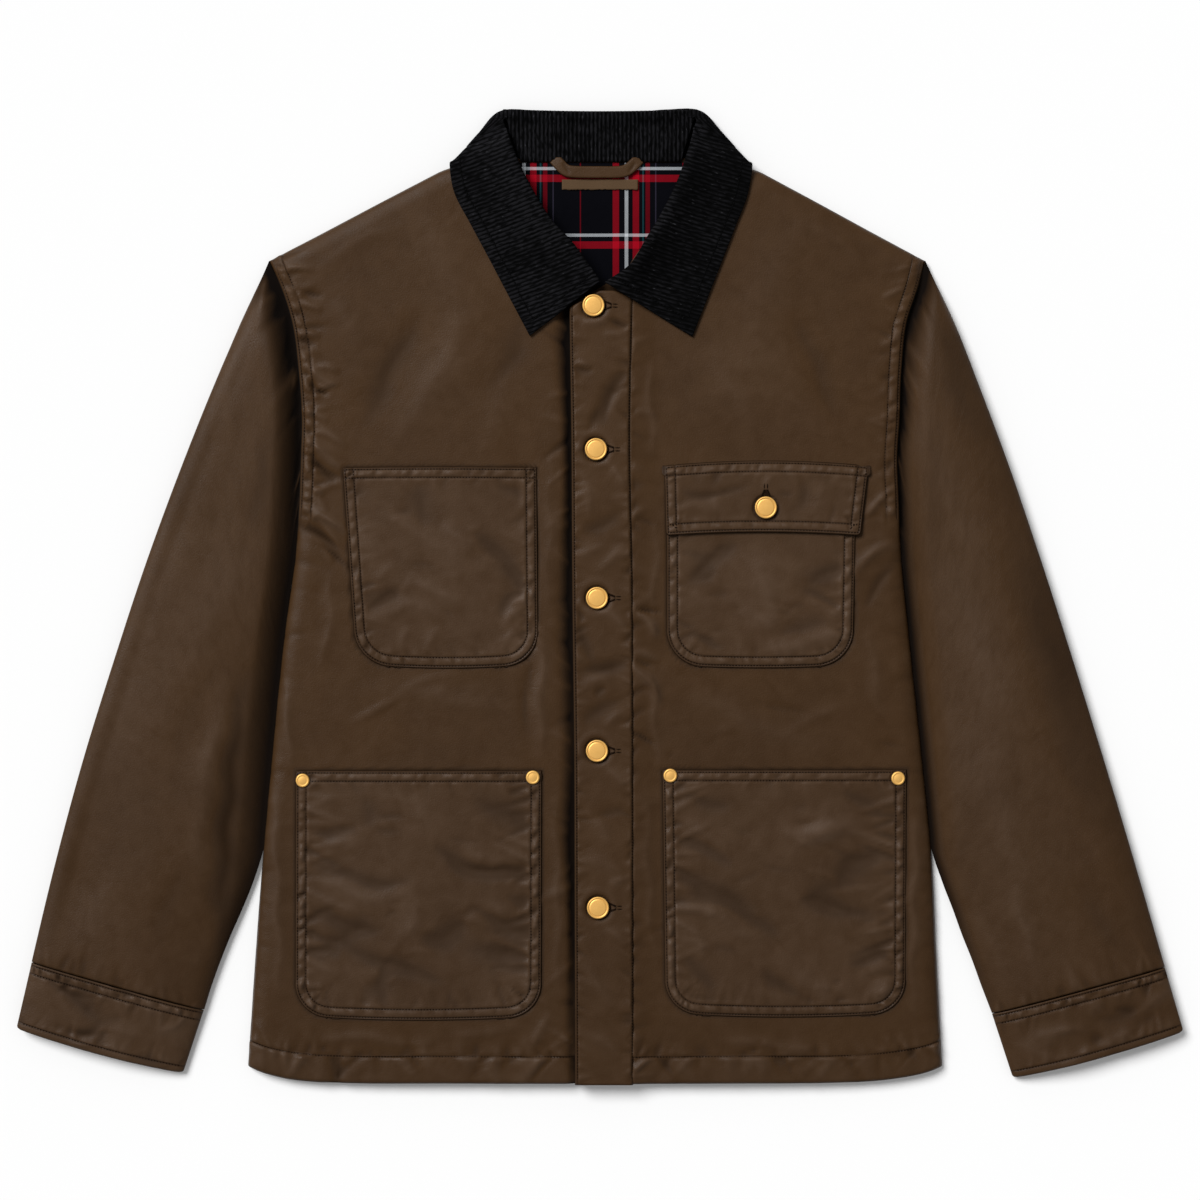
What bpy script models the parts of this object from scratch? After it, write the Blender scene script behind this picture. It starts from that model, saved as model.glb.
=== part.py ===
"""Waxed-cotton chore jacket with a corduroy collar, buttoned up and laid flat.

The tables are in millimetres and the meshes are built in metres, +Z up. The jacket lies on
z = 0 with its back down, its collar towards +Y and its hem towards -Y. "right" and "left" in
the names are the wearer's: the wearer's right is at -X. Every cloth piece is a thin wall with
its own outline. What lies on a panel is made from that panel's height, moved out.
"""
import math

import bpy
import numpy as np
from mathutils import Matrix

MM = 0.001

# --- cloth walls and the gaps at seams ---------------------------------------------------
CLOTH = 1.5                # one lined layer of the waxed cotton
PATCH_CLOTH = 1.2          # pockets, flap and placket
LINING_CLOTH = 1.0
CORDUROY = 2.0             # two layers of the collar
SEAM_GAP = 0.8             # between pieces that meet edge to edge
LAY_GAP = 0.35             # between a piece and what it lies on

# --- heights of the laid jacket -----------------------------------------------------------
FRONT_HEIGHT = 10.4        # outer face of the fronts near the side seams
FRONT_CROWN = 2.4          # how much higher it is at the centre
HEM_DROP = 1.0             # how much lower it is at the hem
SEAM_EDGE = 3.2            # outer face of a front where it comes down to the back
EDGE_ROLL = 14.0           # width of the rounded side and shoulder edges
ARMHOLE_DIP = 0.9          # the fronts' edge along the open armhole
BACK_RISE = 2.5            # the back climbs over the collar's hidden fall
SLEEVE_HEIGHT = 20.0
SLEEVE_VALLEY = 9.0        # the sleeve's outer face at the armhole seam
SLEEVE_FOLD = 4.0          # height of the sleeve's folded edges
CUFF_TOP, CUFF_HEIGHT = 16.0, 13.5  # at the seam and at the cuff's lower edge
STAND_LOW, STAND_HIGH = 7.4, 8.2

# --- outline of the body -------------------------------------------------------------------
# y, wearer's right side, wearer's left side: side seams up to y = 45, armholes above it
SIDES = [
    (-376, -281.5, 273.8),
    (-287, -275.6, 269.2),
    (-207, -269.6, 265.4),
    (-135, -263.2, 258.6),
    (-35, -253.0, 248.0),
    (45, -242.6, 240.6),
    (80, -240.6, 239.2),
    (110, -239.6, 238.2),
    (140, -238.8, 240.0),
    (180, -241.4, 241.6),
    (221, -247.2, 246.4),
    (246, -255.2, 254.6),
    (268, -264.6, 260.2),
]
UNDERARM_Y = 45
SHOULDER_Y = 268
HEM_CORNER_Y = -376
# x, y along the hem
HEM = [(-281.5, -376), (-268, -381), (-252, -385), (-232, -387.6), (-208, -388.6), (-120, -389),
       (-20, -389.2), (100, -389), (190, -388.4), (216, -387.4), (238, -385), (258, -381.2), (273.8, -376)]
# x, y along the shoulder seams; they dip where the collar's fall passes round them
SHOULDERS = [(-264.6, 268), (-127, 339.6), (-121, 333.5), (-112, 333.5), (-80, 352.0),
             (81, 351.5), (113, 333.0), (122, 333.0), (128, 339.0), (260.2, 268)]
# x, y along the two fronts' necklines, under the collar, and along the back's
FRONT_NECK_RIGHT = [(-80, 352), (-71, 340), (-58, 319), (-44, 296), (-26, 273), (-5, 251), (20, 237)]
FRONT_NECK_LEFT = [(-23.5, 231), (-8, 241), (5, 249), (20, 260), (33, 278), (48, 300), (64, 328),
                   (81, 351.5)]
BACK_NECK = [(-80, 352), (-62, 350), (-30, 349.2), (0, 349), (30, 349.2), (62, 350), (81, 351.5)]

# --- front closing ---------------------------------------------------------------------------
UNDER_EDGE_X = 20.0                # the wearer's right front runs on under the placket
# y, placket edge, placket's inner edge
PLACKET = [(-389.6, -20.0, 26.4), (-250, -20.4, 26.4), (-123, -20.8, 26.3), (-3, -22.2, 26.0),
           (141, -23.2, 23.8), (221, -24.4, 25.4), (250, -24.6, 25.8)]
OVERLAP_RAMP = (24.0, 47.0)        # the upper front comes down to the lower one's level
BUTTONS = [(-5.2, 231.2), (-3.2, 116.8), (-2.4, -1.6), (-2.4, -123.2), (-1.6, -248.0)]
BUTTON_DIAMETER = 17.6
SHANK_DIAMETER = 3.6
SLOT_WIDTH, SLOT_LENGTH, SLOT_DEPTH = 4.6, 22.0, 40.0
FLAP_BUTTON = (132.0, 70.4)
RIVETS = [(-237.0, -147.0), (-53.5, -144.5), (56.0, -143.0), (237.6, -145.3)]
RIVET_DIAMETER = 11.0

# --- patch pockets: edges at top and bottom, corner radius, bows of the two long edges ------
# name, left top, right top, left bottom, right bottom, top, bottom, radius, top bow, bottom bow
POCKETS = [
    ("chest_pocket_right", -205.6, -50.0, -194.4, -48.8, 102.6, -56.5, 29, 0.6, -1.4),
    ("chest_pocket_left", 53.0, 204.6, 53.0, 202.0, 92.0, -56.6, 30, 0.0, -1.0),
    ("hip_pocket_right", -243.0, -46.0, -243.4, -46.4, -139.0, -336.5, 28, 0.0, -2.0),
    ("hip_pocket_left", 49.4, 244.8, 51.8, 244.0, -138.4, -334.0, 28, 0.0, -2.0),
]
FLAP_POCKET = POCKETS[1]
FLAP = ("pocket_flap", 51.0, 214.6, 52.4, 207.8, 104.0, 48.2, 3.0, 4.0, 2.6)
FLAP_FOLD = (104.0, 96.0)           # between these the flap climbs onto the pocket
POCKET_PLUMP = 1.2

# --- sleeves: y, wearer's right, wearer's left -----------------------------------------------
SLEEVE_OUTER = [
    (-345, -466.0, 465.2), (-291, -453.6, 449.6), (-211, -434.4, 426.4), (-131, -412.8, 402.4),
    (-51, -388.0, 377.6), (29, -361.6, 352.0), (109, -332.0, 324.8), (169, -308.0, 302.4),
    (209, -291.2, 287.2), (249, -274.6, 270.6), (268, -266.8, 262.4),
]
SLEEVE_INNER = [
    (-385, -334.6, 330.6), (-334, -317.6, 313.6), (-311, -310.4, 304.8), (-291, -303.2, 297.6),
    (-271, -295.2, 289.6), (-251, -286.4, 282.4), (-228, -277.2, 273.6), (-205, -271.0, 267.0),
    (-135, -264.2, 259.6), (-35, -254.0, 249.0), (45, -243.4, 241.4),
]
# inner and outer end of the seam, inner and outer end of the lower edge; right, then left
CUFFS = np.array([
    [(-317.0, -331.4), (-453.8, -292.6), (-333.6, -381.6), (-466.0, -345.4)],
    [(313.6, -334.2), (451.0, -296.6), (330.4, -385.6), (466.0, -347.8)],
])
CUFF_BOW = 2.0                     # its lower edge bows out by this much
POINT_GAP = 1.4                    # wider seam where the sleeve's fold starts at the shoulder

# --- collar: roll line, the point where the fall turns under, outer edge ---------------------
# roll x, roll y, turn x, turn y, edge x, edge y, rise of the roll
FALL_RIGHT = [
    (0.5, 250.5, -56.0, 207.2, -56.0, 207.2, 1.5),
    (-20.0, 279.0, -72.0, 237.5, -72.0, 237.5, 4.0),
    (-38.4, 299.2, -88.0, 268.0, -88.0, 268.0, 5.0),
    (-52.0, 320.8, -103.0, 296.0, -103.0, 296.0, 5.0),
    (-63.2, 342.4, -116.0, 321.0, -116.0, 321.0, 4.5),
    (-70.5, 361.0, -119.8, 343.2, -119.8, 343.2, 3.0),
    (-73.0, 368.0, -117.4, 347.6, -120.4, 341.6, 2.0),
    (-75.5, 375.0, -112.5, 353.0, -119.6, 336.5, 1.2),
    (-76.5, 381.0, -97.5, 370.0, -108.0, 333.0, 0.5),
    (-68.0, 382.3, -80.0, 388.0, -88.0, 330.0, 0.2),
    (-50.0, 382.2, -51.0, 390.2, -58.0, 328.5, 0.1),
    (-26.0, 381.2, -26.0, 388.8, -29.0, 327.5, 0.1),
    (0.0, 380.6, 0.0, 388.0, 0.0, 327.0, 0.1),
]
FALL_LEFT = [
    (3.5, 249.5, 73.6, 206.4, 73.6, 206.4, 1.5),
    (24.0, 264.0, 86.0, 238.0, 86.0, 238.0, 4.0),
    (37.0, 285.0, 97.0, 266.0, 97.0, 266.0, 5.0),
    (50.0, 307.0, 107.5, 293.0, 107.5, 293.0, 5.0),
    (62.0, 332.0, 117.5, 319.0, 117.5, 319.0, 4.5),
    (70.5, 357.0, 121.4, 342.4, 121.4, 342.4, 3.0),
    (73.0, 366.0, 118.8, 347.0, 121.8, 341.0, 2.0),
    (75.0, 374.0, 114.0, 352.5, 121.0, 336.0, 1.2),
    (76.5, 381.0, 98.5, 370.0, 109.0, 333.0, 0.5),
    (68.0, 382.3, 80.0, 388.2, 88.0, 330.0, 0.2),
    (50.0, 382.2, 51.0, 390.2, 58.0, 328.5, 0.1),
    (26.0, 381.2, 26.0, 388.8, 29.0, 327.5, 0.1),
    (0.0, 380.6, 0.0, 388.0, 0.0, 327.0, 0.1),
]
ROLL_DROP = 3.6                    # the roll's inner edge comes down by this much
ROLL_SPREAD = 20.0                 # over this distance the fall comes down from its roll
FALL_SAMPLES = 13
HANG = 9.0                         # length of the fall that goes round the turn
STAND_SEAM = (-63.5, 64.5, 347.0)  # the stand's seam: from x, to x, at y
STAND_ROLL = (-73.5, 73.5, 379.4)

# --- inside the neck --------------------------------------------------------------------------
LINING_HALF_WIDTH, LINING_LOW, LINING_HIGH = 76.0, 165.0, 346.4
LINING_GAP = 0.6
LOOP = [(-33, 346.0), (-29.5, 341.5), (-21, 339.2), (0, 338.8), (19, 339.2), (26.5, 341.5), (29, 346.0)]
LOOP_WIDTH, LOOP_LIFT = 9.0, 0.9
LABEL_SIZE, LABEL_Y, LABEL_CLOTH = (60.8, 8.0), 328.8, 0.8

# --- the largest folds: from, to, half width, height ------------------------------------------
FOLDS = [
    (-262, 236, -330, 60, 17, 2.2),
    (-300, 120, -372, -60, 15, 1.6),
    (-392, -90, -330, -215, 20, -1.6),
    (-270, -60, -330, -190, 16, 1.4),
    (262, 240, 300, 120, 16, 2.4),
    (290, 60, 372, -80, 17, 1.5),
    (292, -90, 396, -205, 20, -1.5),
    (-120, -330, -210, -190, 20, 1.3),
    (120, -170, 215, -310, 20, 1.3),
    (-150, 190, -60, 110, 26, 0.8),
    (150, 200, 66, 120, 26, 0.8),
]


def smooth_step(low, high, value):
    """0 below low, 1 above high, with a soft change between."""
    t = np.clip((np.asarray(value, float) - low) / (high - low), 0.0, 1.0)
    return t * t * (3.0 - 2.0 * t)


def through(stops, at):
    """Values at `at` of the smooth curve through the stops (key, value, ...), keys rising."""
    stops = np.asarray(stops, float)
    keys, values = stops[:, 0], stops[:, 1:]
    slopes = np.gradient(values, keys, axis=0)
    at = np.asarray(at, float)
    i = np.clip(np.searchsorted(keys, at, side="right") - 1, 0, len(keys) - 2)
    step = (keys[i + 1] - keys[i])[..., None]
    t = ((at - keys[i])[..., None] / step).clip(0.0, 1.0)
    t2, t3 = t * t, t * t * t
    return ((2 * t3 - 3 * t2 + 1) * values[i] + (t3 - 2 * t2 + t) * step * slopes[i]
            + (3 * t2 - 2 * t3) * values[i + 1] + (t3 - t2) * step * slopes[i + 1])


def side_x(y, side):
    """X of the body's side or armhole at height y; side 0 is the wearer's right, 1 the left."""
    return through(SIDES, y)[..., side]


def shoulder_distance(x, y):
    """Distance inside the nearer shoulder seam; there is none to come down to at the neck."""
    seam_x, seam_y = np.array(SHOULDERS).T
    seam = np.interp(x, seam_x, seam_y)
    at_neck = smooth_step(SHOULDERS[4][0], SHOULDERS[4][0] + 10.0, x) * (1.0 - smooth_step(71.0, 81.0, x))
    return (seam - y) * math.cos(math.radians(28.0)) + EDGE_ROLL * at_neck


def fold_relief(x, y):
    """Sum of the largest folds: each is a soft ridge along a line, fading at both ends."""
    total = np.zeros(np.broadcast(x, y).shape)
    for x0, y0, x1, y1, width, height in FOLDS:
        length = math.hypot(x1 - x0, y1 - y0)
        ux, uy = (x1 - x0) / length, (y1 - y0) / length
        along = ((x - x0) * ux + (y - y0) * uy) / length
        across = (x - x0) * -uy + (y - y0) * ux
        ends = np.sin(math.pi * np.clip(along, 0.0, 1.0)) ** 0.8
        total = total + height * ends * np.exp(-(across / width) ** 2)
    return total


def rounding(distance, width=EDGE_ROLL):
    """Quarter circle from 0 at an edge to 1 at the given width inside it."""
    q = np.clip(np.asarray(distance, float) / width, 0.0, 1.0)
    return np.sqrt(np.clip(1.0 - (1.0 - q) ** 2, 0.0, 1.0))


def back_rise(y):
    return BACK_RISE * smooth_step(286, 318, y)


def lining_top(y):
    return CLOTH + back_rise(y) + LINING_GAP + LINING_CLOTH


def front_top(x, y):
    """Height of the fronts' outer face: a low pillow with rolled side and shoulder edges."""
    x, y = np.asarray(x, float), np.asarray(y, float)
    plateau = FRONT_HEIGHT + FRONT_CROWN * (1.0 - (x / 262.0) ** 2) + fold_relief(x, y)
    plateau = plateau - HEM_DROP * (1.0 - smooth_step(-389, -335, y))
    inside = np.minimum(x - side_x(y, 0), side_x(y, 1) - x)
    closed = 1.0 - smooth_step(UNDERARM_Y - 8, UNDERARM_Y + 22, y) * (1.0 - smooth_step(236, SHOULDER_Y, y))
    edge = closed * SEAM_EDGE + (1.0 - closed) * (plateau - ARMHOLE_DIP)
    height = edge + (plateau - edge) * rounding(inside)
    edge = SEAM_EDGE + back_rise(y)
    return edge + (height - edge) * rounding(shoulder_distance(x, y))


def front_left_top(x, y):
    """The wearer's left front lies over the right one along the closing."""
    lift = (CLOTH + LAY_GAP) * (1.0 - smooth_step(*OVERLAP_RAMP, x))
    return front_top(x, y) + lift


def front_under(x, y):
    """The front that shows at a point: the right one at -X, the left one at +X."""
    return np.where(np.asarray(x) < 0, front_top(x, y), front_left_top(x, y))


def collar_support(x, y):
    """What the collar's fall bridges: the fronts, and the placket's end near the closing."""
    around = [(0, 0), (7, 0), (-7, 0), (0, 6), (0, -7), (0, -14)]
    under = np.max([front_under(x + dx, y + dy) for dx, dy in around], axis=0)
    stack = (CLOTH + PATCH_CLOTH + 2 * LAY_GAP) * smooth_step(-44, -27, x) * (np.asarray(x) < 0)
    stack = stack + (PATCH_CLOTH + LAY_GAP) * (1.0 - smooth_step(28, 40, x)) * (np.asarray(x) >= 0)
    return under + stack


# ----------------------------------------------------------------------------------------------
# Meshes and materials
# ----------------------------------------------------------------------------------------------

def surface_material(name, colour, roughness, metallic=0.0):
    material = bpy.data.materials.new(name)
    material.use_nodes = True
    shader = material.node_tree.nodes["Principled BSDF"]
    shader.inputs["Base Color"].default_value = (*colour, 1.0)
    shader.inputs["Roughness"].default_value = roughness
    shader.inputs["Metallic"].default_value = metallic
    material.diffuse_color = (*colour, 1.0)
    return material


def add_object(name, mesh, material, collection):
    obj = bpy.data.objects.new(name, mesh)
    mesh.materials.append(material)
    collection.objects.link(obj)
    return obj


def sheet(name, plan, height, thickness, material, collection, ring=False):
    """Cloth wall under a grid of plan points at the given heights; a ring joins its columns."""
    points = np.concatenate([plan, np.broadcast_to(height, plan.shape[:2])[..., None]], axis=-1) * MM
    rows, columns = points.shape[:2]
    faces = []
    for row in range(rows - 1):
        for column in range(columns if ring else columns - 1):
            here, ahead = row * columns + column, row * columns + (column + 1) % columns
            faces.append((here, ahead, ahead + columns, here + columns))
    mesh = bpy.data.meshes.new(name)
    mesh.from_pydata(points.reshape(-1, 3).tolist(), [], faces)
    mesh.update()
    obj = add_object(name, mesh, material, collection)
    wall = obj.modifiers.new("wall", "SOLIDIFY")
    wall.thickness = thickness * MM
    wall.offset = -1.0
    wall.use_even_offset = True
    return obj


def turned(name, profile, steps, place, material, collection):
    """A profile (radius, height), top to bottom on the outside, turned about its axis."""
    mesh = bpy.data.meshes.new(name)
    points = [(radius * MM, 0.0, height * MM) for radius, height in profile]
    mesh.from_pydata(points, [(i, i + 1) for i in range(len(points) - 1)], [])
    obj = add_object(name, mesh, material, collection)
    obj.location = [coordinate * MM for coordinate in place]
    screw = obj.modifiers.new("turn", "SCREW")
    screw.axis = "Z"
    screw.steps = steps
    screw.render_steps = steps
    screw.use_merge_vertices = True
    screw.merge_threshold = 0.00001
    return obj


def coons(low, high, left, right, across, up):
    """Grid of plan points between four edge curves; low and high run along `across`."""
    u, v = across[None, :, None], up[:, None, None]
    corners = ((1 - u) * (1 - v) * low[0] + u * (1 - v) * low[-1]
               + (1 - u) * v * high[0] + u * v * high[-1])
    return ((1 - v) * low[None] + v * high[None]
            + (1 - u) * left[:, None] + u * right[:, None] - corners)


# ----------------------------------------------------------------------------------------------
# Body: the back, and the two fronts that lie over it
# ----------------------------------------------------------------------------------------------

FRONT_ROWS = np.array([-376, -350, -310, -262, -214, -166, -118, -70, -22, 20, 45, 66, 100,
                       150, 200, 232, 252, 262, 266.6, 268.0])
BACK_ROWS = np.array([-376, -290, -200, -110, -20, 45, 100, 150, 200, 213, 220, 227, 234, 241, 268])
# distances inside a rolled edge at which its quarter circle is sampled
ROLL_STEPS = EDGE_ROLL * np.array([0.0, 0.05, 0.2, 0.5, 1.0])
RIGHT_TIP, LEFT_TIP = SHOULDERS[0][0], SHOULDERS[-1][0]
BACK_TOP = np.array([RIGHT_TIP, -220, -175, -127, -121, -112, -80, -40, 0,
                     40, 81, 113, 122, 128, 175, 220, LEFT_TIP])
RIGHT_TOP = np.concatenate([RIGHT_TIP + ROLL_STEPS, [-220, -172, -127, -121, -112, -96, -80,
                                                     -68, -50, -26, -5, UNDER_EDGE_X]])
LEFT_TOP = np.concatenate([[FRONT_NECK_LEFT[0][0], -8, 5, 20, 33, 48, 66, 81, 97, 113, 122, 128,
                            172, 218], LEFT_TIP - ROLL_STEPS[::-1]])


def hem_edge(x):
    return np.stack([x, through(HEM, x)[..., 0]], axis=-1)


def top_edge(x, neck):
    """Plan points along shoulder seams and neckline for rising x."""
    seam_x, seam_y = np.array(SHOULDERS).T
    at_neck = (x > SHOULDERS[4][0]) & (x < SHOULDERS[5][0])
    y = np.where(at_neck, through(neck, x)[..., 0], np.interp(x, seam_x, seam_y))
    return np.stack([x, y], axis=-1)


def side_edge(side, rows):
    return np.stack([side_x(rows, side), rows], axis=-1)


def share(values):
    """How far each value is from the first to the last, 0 to 1."""
    return (values - values[0]) / (values[-1] - values[0])


def back_panel(cotton, collection):
    across, up = share(BACK_TOP), share(BACK_ROWS)
    low = hem_edge(HEM[0][0] + across * (HEM[-1][0] - HEM[0][0])) + np.array([0.0, LAY_GAP])
    plan = coons(low, top_edge(BACK_TOP, BACK_NECK), side_edge(0, BACK_ROWS), side_edge(1, BACK_ROWS),
                 across, up)
    sheet("back_panel", plan, CLOTH + back_rise(plan[..., 1]), CLOTH, cotton, collection)


def front_right(cotton, collection):
    """The wearer's right front runs on under the placket to its own straight edge."""
    across, up = share(RIGHT_TOP), share(FRONT_ROWS)
    low = hem_edge(HEM[0][0] + across * (UNDER_EDGE_X - HEM[0][0]))
    high = top_edge(RIGHT_TOP, FRONT_NECK_RIGHT)
    closing = low[-1] + up[:, None] * (high[-1] - low[-1])
    plan = coons(low, high, side_edge(0, FRONT_ROWS), closing, across, up)
    sheet("front_right", plan, front_top(plan[..., 0], plan[..., 1]), CLOTH, cotton, collection)


def front_left(cotton, collection):
    """The wearer's left front lies over the right one, up to the placket's outer edge."""
    across, up = share(LEFT_TOP), share(FRONT_ROWS)
    start = through(PLACKET, PLACKET[0][0])[0] + LAY_GAP
    low = hem_edge(start + across * (HEM[-1][0] - start))
    high = top_edge(LEFT_TOP, FRONT_NECK_LEFT)
    edge_y = low[0][1] + up * (high[0][1] - low[0][1])
    closing = np.stack([through(PLACKET, edge_y)[..., 0] + LAY_GAP, edge_y], axis=-1)
    closing[0], closing[-1] = low[0], high[0]
    plan = coons(low, high, closing, side_edge(1, FRONT_ROWS), across, up)
    sheet("front_left", plan, front_left_top(plan[..., 0], plan[..., 1]), CLOTH, cotton, collection)


def placket(cotton, collection):
    """Strip along the closing; its end follows the lower edges of the two collar points."""
    up = np.concatenate([np.linspace(PLACKET[0][0], 210, 19), [222, 222]])
    outer, inner = through(PLACKET, up).T
    columns = [outer, outer + 4.0, 0.5 * (outer + inner), inner - 4.0, inner]
    plan = np.stack([np.stack(columns, axis=1), np.repeat(up[:, None], len(columns), axis=1)], axis=-1)
    plan[-1, :, 1] = np.interp(plan[-1, :, 0], [-25, 0, 12, 27], [229, 243, 243, 236])
    height = front_left_top(plan[..., 0], plan[..., 1]) + LAY_GAP + PATCH_CLOTH
    sheet("placket", plan, height, PATCH_CLOTH, cotton, collection)


# ----------------------------------------------------------------------------------------------
# Patch pockets and flap
# ----------------------------------------------------------------------------------------------

def patch_plan(row, columns, rows):
    """Plan grid of a patch with rounded lower corners and bowed upper and lower edges."""
    name, left_top, right_top, left_low, right_low, top, low, radius, top_bow, low_bow = row
    corner = radius * (1.0 - np.cos(np.linspace(0.0, 0.5 * math.pi, 5)))
    y = np.concatenate([low + corner, np.linspace(low + radius, top, rows)[1:]])[:, None]
    t = (y - low) / (top - low)
    inset = radius - np.sqrt(radius ** 2 - np.clip(low + radius - y, 0.0, radius) ** 2)
    start = left_low + t * (left_top - left_low) + inset
    end = right_low + t * (right_top - right_low) - inset
    s = np.linspace(0.0, 1.0, columns)[None]
    bow = (top_bow * t + low_bow * (1.0 - t)) * 4.0 * s * (1.0 - s)
    return np.stack([start + s * (end - start), y + bow], axis=-1)


def pocket_top(x, y, row):
    """Outer face of a patch pocket: its front, moved out and a little plump in the middle."""
    name, left_top, right_top, left_low, right_low, top, low = row[:7]
    s = np.clip((x - left_top) / (right_top - left_top), 0.0, 1.0)
    t = np.clip((y - low) / (top - low), 0.0, 1.0)
    plump = POCKET_PLUMP * np.sin(math.pi * s) * smooth_step(0.0, 0.6, t)
    if name == FLAP_POCKET[0]:
        plump = plump * (1.0 - smooth_step(0.5, 0.68, t))
    return front_under(x, y) + LAY_GAP + PATCH_CLOTH + plump


def flap_top(x, y):
    """The flap starts on the front above its pocket and climbs onto the pocket."""
    climb = smooth_step(*FLAP_FOLD, y)
    on_front = front_under(x, y) + LAY_GAP + PATCH_CLOTH
    on_pocket = pocket_top(x, np.minimum(y, FLAP_POCKET[5]), FLAP_POCKET) + 1.6 * LAY_GAP + PATCH_CLOTH
    return on_front + (on_pocket - on_front) * climb


def pockets(cotton, collection):
    for row in POCKETS:
        plan = patch_plan(row, 8, 6)
        sheet(row[0], plan, pocket_top(plan[..., 0], plan[..., 1], row), PATCH_CLOTH, cotton, collection)
    plan = patch_plan(FLAP, 9, 7)
    sheet(FLAP[0], plan, flap_top(plan[..., 0], plan[..., 1]), PATCH_CLOTH, cotton, collection)


# ----------------------------------------------------------------------------------------------
# Sleeves and cuffs: laid tubes, open at both ends
# ----------------------------------------------------------------------------------------------

SLEEVE_ROWS = [0, .012, .03, .06, .1, .16, .23, .3, .38, .46, .54, .62, .7, .78, .86, .93, 1]
CUFF_ROWS = [0, .25, .6, 1]
# shares of the tube's width, from inner to outer fold over the top and back underneath
RING_UPPER = np.array([0, .015, .06, .15, .32, .5, .68, .85, .94, .985, 1])
RING_LOWER = np.array([.97, .91, .7, .5, .3, .09, .03])


def over_tube(v, top):
    """Height over a laid tube: the folds' height at both sides, rounded up to its top."""
    return SLEEVE_FOLD + (top - SLEEVE_FOLD) * np.sqrt(np.clip(1.0 - np.abs(2.0 * v - 1.0) ** 4, 0.0, 1.0))


def under_tube(v):
    """Height under it: flat on the table, rounded up to the folds."""
    flat = 1.06 * np.sqrt(np.clip(1.0 - np.abs(2.0 * v - 1.0) ** 12, 0.0, 1.0))
    return SLEEVE_FOLD * np.clip(1.0 - flat, 0.0, 1.0)


def sleeve_plan(side, u, v):
    """Plan points at share u from armhole to cuff and v from inner to outer fold."""
    sign = -1.0 if side == 0 else 1.0
    seam_in, seam_out, low_in, low_out = CUFFS[side]
    back_off = SEAM_GAP * (low_in - seam_in) / np.hypot(*(low_in - seam_in))
    seam_in, seam_out = seam_in - back_off, seam_out - back_off

    def armhole(v):
        y = UNDERARM_Y + v * (SHOULDER_Y - UNDERARM_Y)
        return np.stack([side_x(y, side) + sign * (SEAM_GAP + POINT_GAP * smooth_step(0.86, 1.0, v)), y], -1)

    y = UNDERARM_Y + u * (seam_in[1] - UNDERARM_Y)
    inner = np.array([through(SLEEVE_INNER, y)[side], y])
    y = SHOULDER_Y + u * (seam_out[1] - SHOULDER_Y)
    outer = np.array([through(SLEEVE_OUTER, y)[side], y])
    ends = armhole(np.array([0.0, 1.0]))
    along = armhole(v)
    v = v[:, None]
    cuff = seam_in + v * (seam_out - seam_in)
    corners = (1 - u) * ((1 - v) * ends[0] + v * ends[1]) + u * cuff
    return (1 - u) * along + u * cuff + (1 - v) * inner + v * outer - corners


def sleeve_top(side, u, v):
    """The sleeve swells out of the valley at its armhole and gets lower towards the cuff."""
    plan = sleeve_plan(side, u, v)
    crest = SLEEVE_HEIGHT - (SLEEVE_HEIGHT - CUFF_TOP) * u
    crest = SLEEVE_VALLEY + (crest - SLEEVE_VALLEY) * smooth_step(0.0, 0.05, u) ** 0.6
    folds = fold_relief(plan[:, 0], plan[:, 1]) * smooth_step(0.0, 0.08, u)
    return over_tube(v, crest) + folds * over_tube(v, 1.0 + SLEEVE_FOLD) - folds * SLEEVE_FOLD


def cuff_plan(side, u, v):
    seam_in, seam_out, low_in, low_out = CUFFS[side]
    inner, outer = seam_in + u * (low_in - seam_in), seam_out + u * (low_out - seam_out)
    bow = CUFF_BOW * u * np.sin(math.pi * v)[:, None] * np.array([0.0, -1.0])
    return inner + v[:, None] * (outer - inner) + bow


def cuff_top(side, u, v):
    return over_tube(v, CUFF_HEIGHT + (CUFF_TOP - CUFF_HEIGHT) * (1.0 - u) ** 2)


def laid_tube(name, side, rows, plan_at, top_at, cotton, collection):
    """Each ring runs over the top from inner to outer fold and back underneath."""
    plan, height = [], []
    for u in rows:
        plan.append(np.concatenate([plan_at(side, u, RING_UPPER), plan_at(side, u, RING_LOWER)]))
        height.append(np.concatenate([top_at(side, u, RING_UPPER), under_tube(RING_LOWER)]))
    plan, height = np.array(plan), np.array(height)
    if side == 1:
        plan, height = plan[:, ::-1], height[:, ::-1]
    sheet(name, plan, height, CLOTH, cotton, collection, ring=True)


def sleeves(cotton, collection):
    for side, word in enumerate(("right", "left")):
        laid_tube("sleeve_" + word, side, SLEEVE_ROWS, sleeve_plan, sleeve_top, cotton, collection)
        laid_tube("cuff_" + word, side, CUFF_ROWS, cuff_plan, cuff_top, cotton, collection)


# ----------------------------------------------------------------------------------------------
# Collar
# ----------------------------------------------------------------------------------------------

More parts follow.
